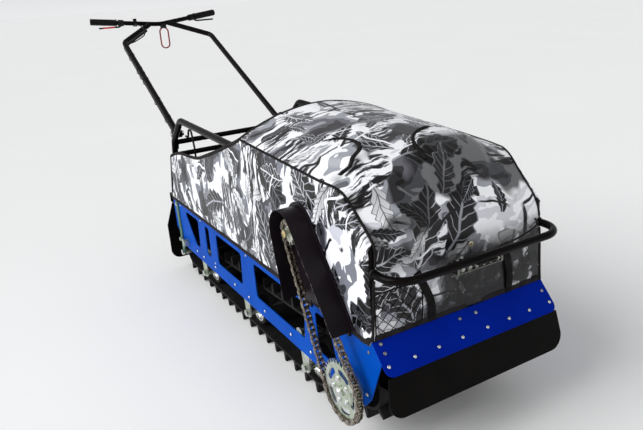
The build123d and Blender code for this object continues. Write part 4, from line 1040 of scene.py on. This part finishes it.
def lug_ribs():
    at, step = track_places()
    parts = []
    for middle, shift in LUG_BANDS:
        for k in range(LUG_COUNT):
            x, z, a = at((k + shift) * step)
            out = Vector((cos(a), 0, sin(a)))
            along = Vector((-sin(a), 0, cos(a)))
            for y, way in (*RIBS, (0.0, 1 if middle <= 0 else -1)):
                foot = place(x, middle + y, z)
                rib = [foot + along * (way * step_out) + out * rise for step_out, rise in RIB_SIDE]
                verts = [corner + wide for wide in (-RIB_HALF, RIB_HALF) for corner in rib]
                parts.append((verts, RIB_FACES if way > 0 else [face[::-1] for face in RIB_FACES]))
    rubber = coat["track_rubber"]
    return new_piece("lug_ribs", *joined(parts), rubber, slot="track_rubber", smooth_shade=False)


lug_ribs()

# Light bar: reflectors with yellow chips behind clear lenses
LENS_Z = 501.0
LENS_FACE_X = 62.0
LENS_PITCH = 22.5
LENS_COUNT = 6
CUP_DEPTH = 8.0
CHIP_STEP = Vector((0, 0, 0.0034))
CHIP_AHEAD = Vector((0.0012, 0, 0))
# step forward and radius of a reflector, a chip and a lens cover, in metres
CUP = (
    (0.0004, 0.0024), (0.0014, 0.0048), (0.0034, 0.007), (0.0062, 0.0087), (0.0058, 0.0089), (0.0001, 0.0089)
)
CHIP = ((0.0, 0.0021), (0.0014, 0.002), (0.0024, 0.0013), (0.0028, 0.0003))
LENS_COVER = ((0.0063, 0.0088), (0.0073, 0.0088), (0.0079, 0.0078), (0.0081, 0.0035))
# half width and height of the bezel's outlines, bevels of their corners, and its back and front
BEZEL_OUTER, BEZEL_INNER = (71.6, 10.6, 0.6, 1.2), (66.8, 8.6, 0.6, 1.0)
BEZEL_BACK, BEZEL_FRONT = -0.2, 1.6


def lamp_parts():
    cups, chips, covers = [], [], []
    for k in range(LENS_COUNT):
        middle = place(LENS_FACE_X - CUP_DEPTH, (k - (LENS_COUNT - 1) / 2) * LENS_PITCH, LENS_Z)
        cups.append(turned(CUP, 24, middle, FORWARD))
        for step in (-CHIP_STEP, CHIP_STEP):
            chips.append(turned(CHIP, 14, middle + CHIP_AHEAD + step, FORWARD))
        covers.append(turned(LENS_COVER, 28, middle, FORWARD))
    cup_piece = new_piece("lamp_reflectors", *joined(cups), coat["reflector"], slot="lamp_glass")
    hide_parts("light_lenses")
    new_piece("lamp_chips", *joined(chips), coat["led_yellow"], slot="lamp_glass")
    new_piece("lamp_covers", *joined(covers), coat["lamp_glass"], slot="lamp_glass")


lamp_parts()


def bevelled(half_y, half_z, bevel_y, bevel_z):
    """Outline of a rectangle with bevelled corners, from its left top down and round to its right top."""
    corner = ((half_y - bevel_y, half_z), (half_y, half_z - bevel_z))
    ways = ((1, 1, 1), (1, -1, -1), (-1, -1, 1), (-1, 1, -1))
    return [(sy * y, sz * z) for sy, sz, order in ways for y, z in corner[::order]]


def lamp_bezel():
    """Frame round the lamp's face, with a slot for the row of lenses."""
    outer, inner = bevelled(*BEZEL_OUTER), bevelled(*BEZEL_INNER)
    rings = ((outer, BEZEL_BACK), (outer, BEZEL_FRONT), (inner, BEZEL_FRONT), (inner, BEZEL_BACK))
    verts = [place(LENS_FACE_X + step, y, LENS_Z + z) for ring, step in rings for y, z in ring]
    faces = tube_faces(4, len(outer), closed=True)
    return new_piece("lamp_bezel", verts, faces, coat["bezel_grey"], slot="black_plastic", smooth_shade=False)


lamp_bezel()


CABLE_BEND_R = 0.03
CABLE_STEP = 0.006


def free_cable(name, places, radius, body):
    """A thin cable that hangs free between two fixed ends."""
    line = rounded([place(*p) for p in places], CABLE_BEND_R, CABLE_STEP)
    shape = swept(line, circle(radius, 10), up=LEFTWARD)
    piece = new_piece(name, *shape, coat["black_plastic"], body, "black_plastic")


LAMP_CABLE = (
    (31.0, 62.0, 506.0),
    (24.0, 100.0, 507.0),
    (22.0, 150.0, 509.0),
    (26.0, 205.0, 524.0),
    (22.0, 238.0, 536.0),
    (3.0, 246.0, 541.0),
)
free_cable("lamp_cable", LAMP_CABLE, 0.0025, "chassis")
EYELET = ((0.0, 0.0032), (0.0, 0.0065), (0.0014, 0.0068), (0.0024, 0.006), (0.0024, 0.0036))


def on_front(y, z, out=0.0):
    """Point of the front cloth at (y, z), a step in metres in front of it."""
    return strip_point(Vector((0.2, z)), y / seam_half(0.2, z)) + Vector((out, 0, 0))


eyelet = turned(EYELET, 20, on_front(20.0, 530.0), FORWARD)
new_piece("cover_eyelet", *eyelet, coat["brass_nut"], slot="zinc_steel")

# Webbing straps sewn to the front wall, a little slack
STRAPS = ((-149.0, -102.0), (136.0, 155.0))
STRAP_TOP_Z = 500.0
STRAP_OUT = 0.0022
STRAP_SLACK = 0.005
STRAP_STEPS = 36


def ribbon(path, band):
    """A flat band along a path, lying across the machine."""
    verts = []
    for i, p in enumerate(path):
        along = (path[min(i + 1, len(path) - 1)] - path[max(i - 1, 0)]).normalized()
        wide = (LEFTWARD - along * along.y).normalized()
        out = wide.cross(along)
        verts += [p + wide * u + out * v for u, v in band]
    return verts, tube_faces(len(path), len(band))


def straps():
    parts = []
    length = 0.0
    for top_y, low_y in STRAPS:
        path = []
        for k in range(STRAP_STEPS + 1):
            t = k / STRAP_STEPS
            z = STRAP_TOP_Z + (FRONT_HEM_Z - STRAP_TOP_Z) * t
            y = top_y + (low_y - top_y) * sin(t * pi / 2)
            path.append(on_front(y, z, STRAP_OUT + STRAP_SLACK * sin(pi * t)))
        parts.append(ribbon(path, STRAP_BAND))
        length += sum((b - a).length for a, b in zip(path, path[1:]))
    return parts, length


strap_parts, strap_length = straps()
strap_piece = new_piece("cover_webbing", *joined(strap_parts), webbing, slot="strap_fabric")
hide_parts("cover_straps")

# Cord net sewn over the right of the front wall
NET_SIDE = (-268.0, -132.0)
NET_LOW = 366.0
NET_HIGH = 476.0
NET_PITCH = 30.0
NET_CORD_R = 0.0011
NET_RIM_R = 0.0018
NET_STEPS = 44


def cord_net():
    """Two slanting sets of cords lying on the cloth."""
    parts = []
    tall = NET_HIGH - NET_LOW
    count = int((NET_SIDE[1] - NET_SIDE[0] + tall) / NET_PITCH)
    for lean in (-1, 1):
        for k in range(count + 1):
            start = NET_SIDE[0] - (tall if lean > 0 else 0.0) + k * NET_PITCH
            line = []
            for i in range(NET_STEPS + 1):
                z = NET_LOW + tall * i / NET_STEPS
                y = start + lean * (z - NET_LOW)
                if NET_SIDE[0] <= y <= NET_SIDE[1]:
                    line.append(on_front(y, z, 0.0014))
            if len(line) > 3:
                parts.append(swept(line, circle(NET_CORD_R, 6), up=FORWARD))
    rim = [(NET_SIDE[0], NET_LOW), (NET_SIDE[0], NET_HIGH), (NET_SIDE[1], NET_HIGH), (NET_SIDE[1], NET_LOW)]
    edge = [on_front(p.x, p.y, 0.0016) for p in rounded(rim, 8.0, 5.0)]
    parts.append(swept(edge, circle(NET_RIM_R, 8), up=FORWARD))
    return new_piece("front_net", *joined(parts), webbing, slot="strap_fabric")


front_net = cord_net()

# Handle: ribbed grips, cable ties and a control cable from the throttle to the bundle
GRIP_L = 125.0
# step along the grip and radius, in metres: its flange, one rib from its start, and its end
GRIP_FLANGE = ((0.0, 0.0116), (0.0, 0.0176), (0.0025, 0.0186), (0.005, 0.0176), (0.006, 0.0152))
GRIP_RIB = ((0.0, 0.0152), (0.0012, 0.0161), (0.0042, 0.0161), (0.0054, 0.0152))
GRIP_END = ((0.1228, 0.0158), (0.1272, 0.0152), (0.129, 0.0126), (0.1295, 0.004))
RIB_START, RIB_STOP, RIB_PITCH = 0.0088, 0.120, 0.0068


def grips():
    parts = []
    for side in (-1, 1):
        end = place(BAR_END[0], side * BAR_END[1], BAR_END[2])
        out = Vector((BAR_OUT[0], side * BAR_OUT[1], BAR_OUT[2])).normalized()
        start = end - out * (GRIP_L / 1000)
        profile = [*GRIP_FLANGE]
        step = RIB_START
        while step < RIB_STOP:
            profile += [(step + along, radius) for along, radius in GRIP_RIB]
            step += RIB_PITCH
        profile += GRIP_END
        parts.append(turned(profile, 26, start, out))
    piece = new_piece("grip_sleeves", *joined(parts), coat["grip_rubber"], "handle", "grip_rubber")
    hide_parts("grips")


grips()

PIVOT = Vector((-1488.0, -233.2, 625.0))
ARM_BEND = Vector((-2194.0, -227.0, 976.0))
TIE_SHARES = (0.16, 0.34, 0.56, 0.62, 0.68, 0.84)
# radius of a tie round the arm and round the bundle, and how far the bundle hangs below
TIE_R = 13.1
BUNDLE_R = 8.7
BUNDLE_DROP = 20.8


def cable_ties():
    """Ties round the right arm and the cable bundle below it."""
    parts = []
    along = (ARM_BEND - PIVOT).normalized()
    below = LEFTWARD.cross(along).normalized()
    below = -below if below.z > 0 else below
    side = along.cross(below)
    for share in TIE_SHARES:
        middle = PIVOT + along * ((ARM_BEND - PIVOT).length * share)
        ring = []
        for k in range(32):
            u, v = cos(2 * pi * k / 32), sin(2 * pi * k / 32)
            drop = v * TIE_R if v < 0 else BUNDLE_DROP * smooth(0, 0.35, v) + v * BUNDLE_R
            half = TIE_R if v < 0.2 else TIE_R - (TIE_R - BUNDLE_R) * smooth(0.2, 0.8, v)
            ring.append(place(*(middle + below * drop + side * u * half)))
        parts.append(swept(ring, TIE_BAND, closed=True, up=along))
    plastic = coat["black_plastic"]
    return new_piece("cable_ties", *joined(parts), plastic, "handle", "black_plastic", smooth_shade=False)


cable_ties()

THROTTLE_CABLE = (
    (-2341.0, -132.0, 1046.0),
    (-2300.0, -130.0, 1056.0),
    (-2240.0, -118.0, 1046.0),
    (-2212.0, -108.0, 1022.0),
    (-2214.0, -116.0, 1002.0),
    (-2203.0, -150.0, 985.0),
    (-2206.0, -180.0, 972.0),
    (-2190.0, -216.0, 969.0),
)
free_cable("throttle_cable", THROTTLE_CABLE, 0.0026, "handle")

# Pale floor, soft light and the photo's camera
FLOOR_HALF = 400.0
floor_shader = Shader("floor_card")
floor_tone = floor_shader.ramp(floor_shader.cloud(0.6, 2.0), (0.3, 0.935), (0.7, 0.95))
floor_shader.dress(floor_tone, floor_shader.cloud(1.3, 2.0), (0.85, 0.95))
floor_mesh = bpy.data.meshes.new("floor")
corners = [(sx * FLOOR_HALF, sy * FLOOR_HALF, 0) for sx, sy in ((-1, -1), (1, -1), (1, 1), (-1, 1))]
floor_mesh.from_pydata(corners, [], [(0, 1, 2, 3)])
floor_mesh.materials.append(floor_shader.material)
floor = bpy.data.objects.new("floor", floor_mesh)
floor.location.z = cad_box[0].z - 0.001
bpy.context.scene.collection.objects.link(floor)

world = bpy.data.worlds.new("studio")
world.use_nodes = True
sky = world.node_tree
sky_height = sky.nodes.new("ShaderNodeSeparateXYZ")
sky_ramp = sky.nodes.new("ShaderNodeValToRGB")
sky.links.new(sky.nodes.new("ShaderNodeTexCoord").outputs["Generated"], sky_height.inputs["Vector"])
sky.links.new(sky_height.outputs["Z"], sky_ramp.inputs["Fac"])
sky.links.new(sky_ramp.outputs["Color"], sky.nodes["Background"].inputs["Color"])
sky_ramp.color_ramp.elements.new(0.1)
for element, (height, tone) in zip(sky_ramp.color_ramp.elements, ((0.0, 0.835), (0.12, 0.62), (0.5, 0.42))):
    element.position = height
    element.color = (tone * 0.98, tone * 0.99, tone, 1.0)
bpy.context.scene.world = world

SUN_FROM = Vector((-0.2, -0.85, 0.65))
SUN_POWER = 2.3
SUN_SPREAD = 50.0


def hang(name, light, spot, aim):
    holder = bpy.data.objects.new(name, light)
    holder.location = spot
    holder.rotation_mode = "QUATERNION"
    holder.rotation_quaternion = (aim - spot).to_track_quat("-Z", "Y")
    bpy.context.scene.collection.objects.link(holder)


sun = bpy.data.lights.new("sun", "SUN")
sun.energy = SUN_POWER
sun.angle = radians(SUN_SPREAD)
hang("sun", sun, SUN_FROM * 6.0, Vector((0, 0, 0)))
# name, place in metres, aim in metres, width, power
LAMPS = (
    ("side_box", (0.9, -3.4, 1.7), (0.3, 0.0, 0.45), 1.6, 14.0),
    ("front_box", (4.2, 0.6, 2.0), (0.9, 0.0, 0.45), 1.6, 10.0),
)
for name, spot, aim, width, power in LAMPS:
    box_light = bpy.data.lights.new(name, "AREA")
    box_light.shape = "DISK"
    box_light.size = width
    box_light.energy = power
    hang(name, box_light, Vector(spot), Vector(aim))

CAMERA_AT = (2.24804, -0.9849, 1.1327)
CAMERA_YAW = 151.285
CAMERA_PITCH = -19.257
CAMERA_ROLL = -4.174
FOCAL_PX = 628.59
IMAGE_W = 643.0
SENSOR_W = 36.0
yaw, pitch, roll = radians(CAMERA_YAW), radians(CAMERA_PITCH), radians(CAMERA_ROLL)
ahead = Vector((cos(pitch) * cos(yaw), cos(pitch) * sin(yaw), sin(pitch)))
level = ahead.cross(UPWARD).normalized()
upright = level.cross(ahead)
right = level * cos(roll) + upright * sin(roll)
above = upright * cos(roll) - level * sin(roll)
camera_data = bpy.data.cameras.new("camera")
camera_data.sensor_width = SENSOR_W
camera_data.lens = SENSOR_W * FOCAL_PX / IMAGE_W
camera = bpy.data.objects.new("camera", camera_data)
camera.matrix_world = Matrix(
    (
        (right.x, above.x, -ahead.x, CAMERA_AT[0]),
        (right.y, above.y, -ahead.y, CAMERA_AT[1]),
        (right.z, above.z, -ahead.z, CAMERA_AT[2]),
        (0, 0, 0, 1),
    )
)
bpy.context.scene.collection.objects.link(camera)
bpy.context.scene.camera = camera
bpy.context.scene.view_settings.view_transform = "Standard"

bpy.context.view_layer.update()
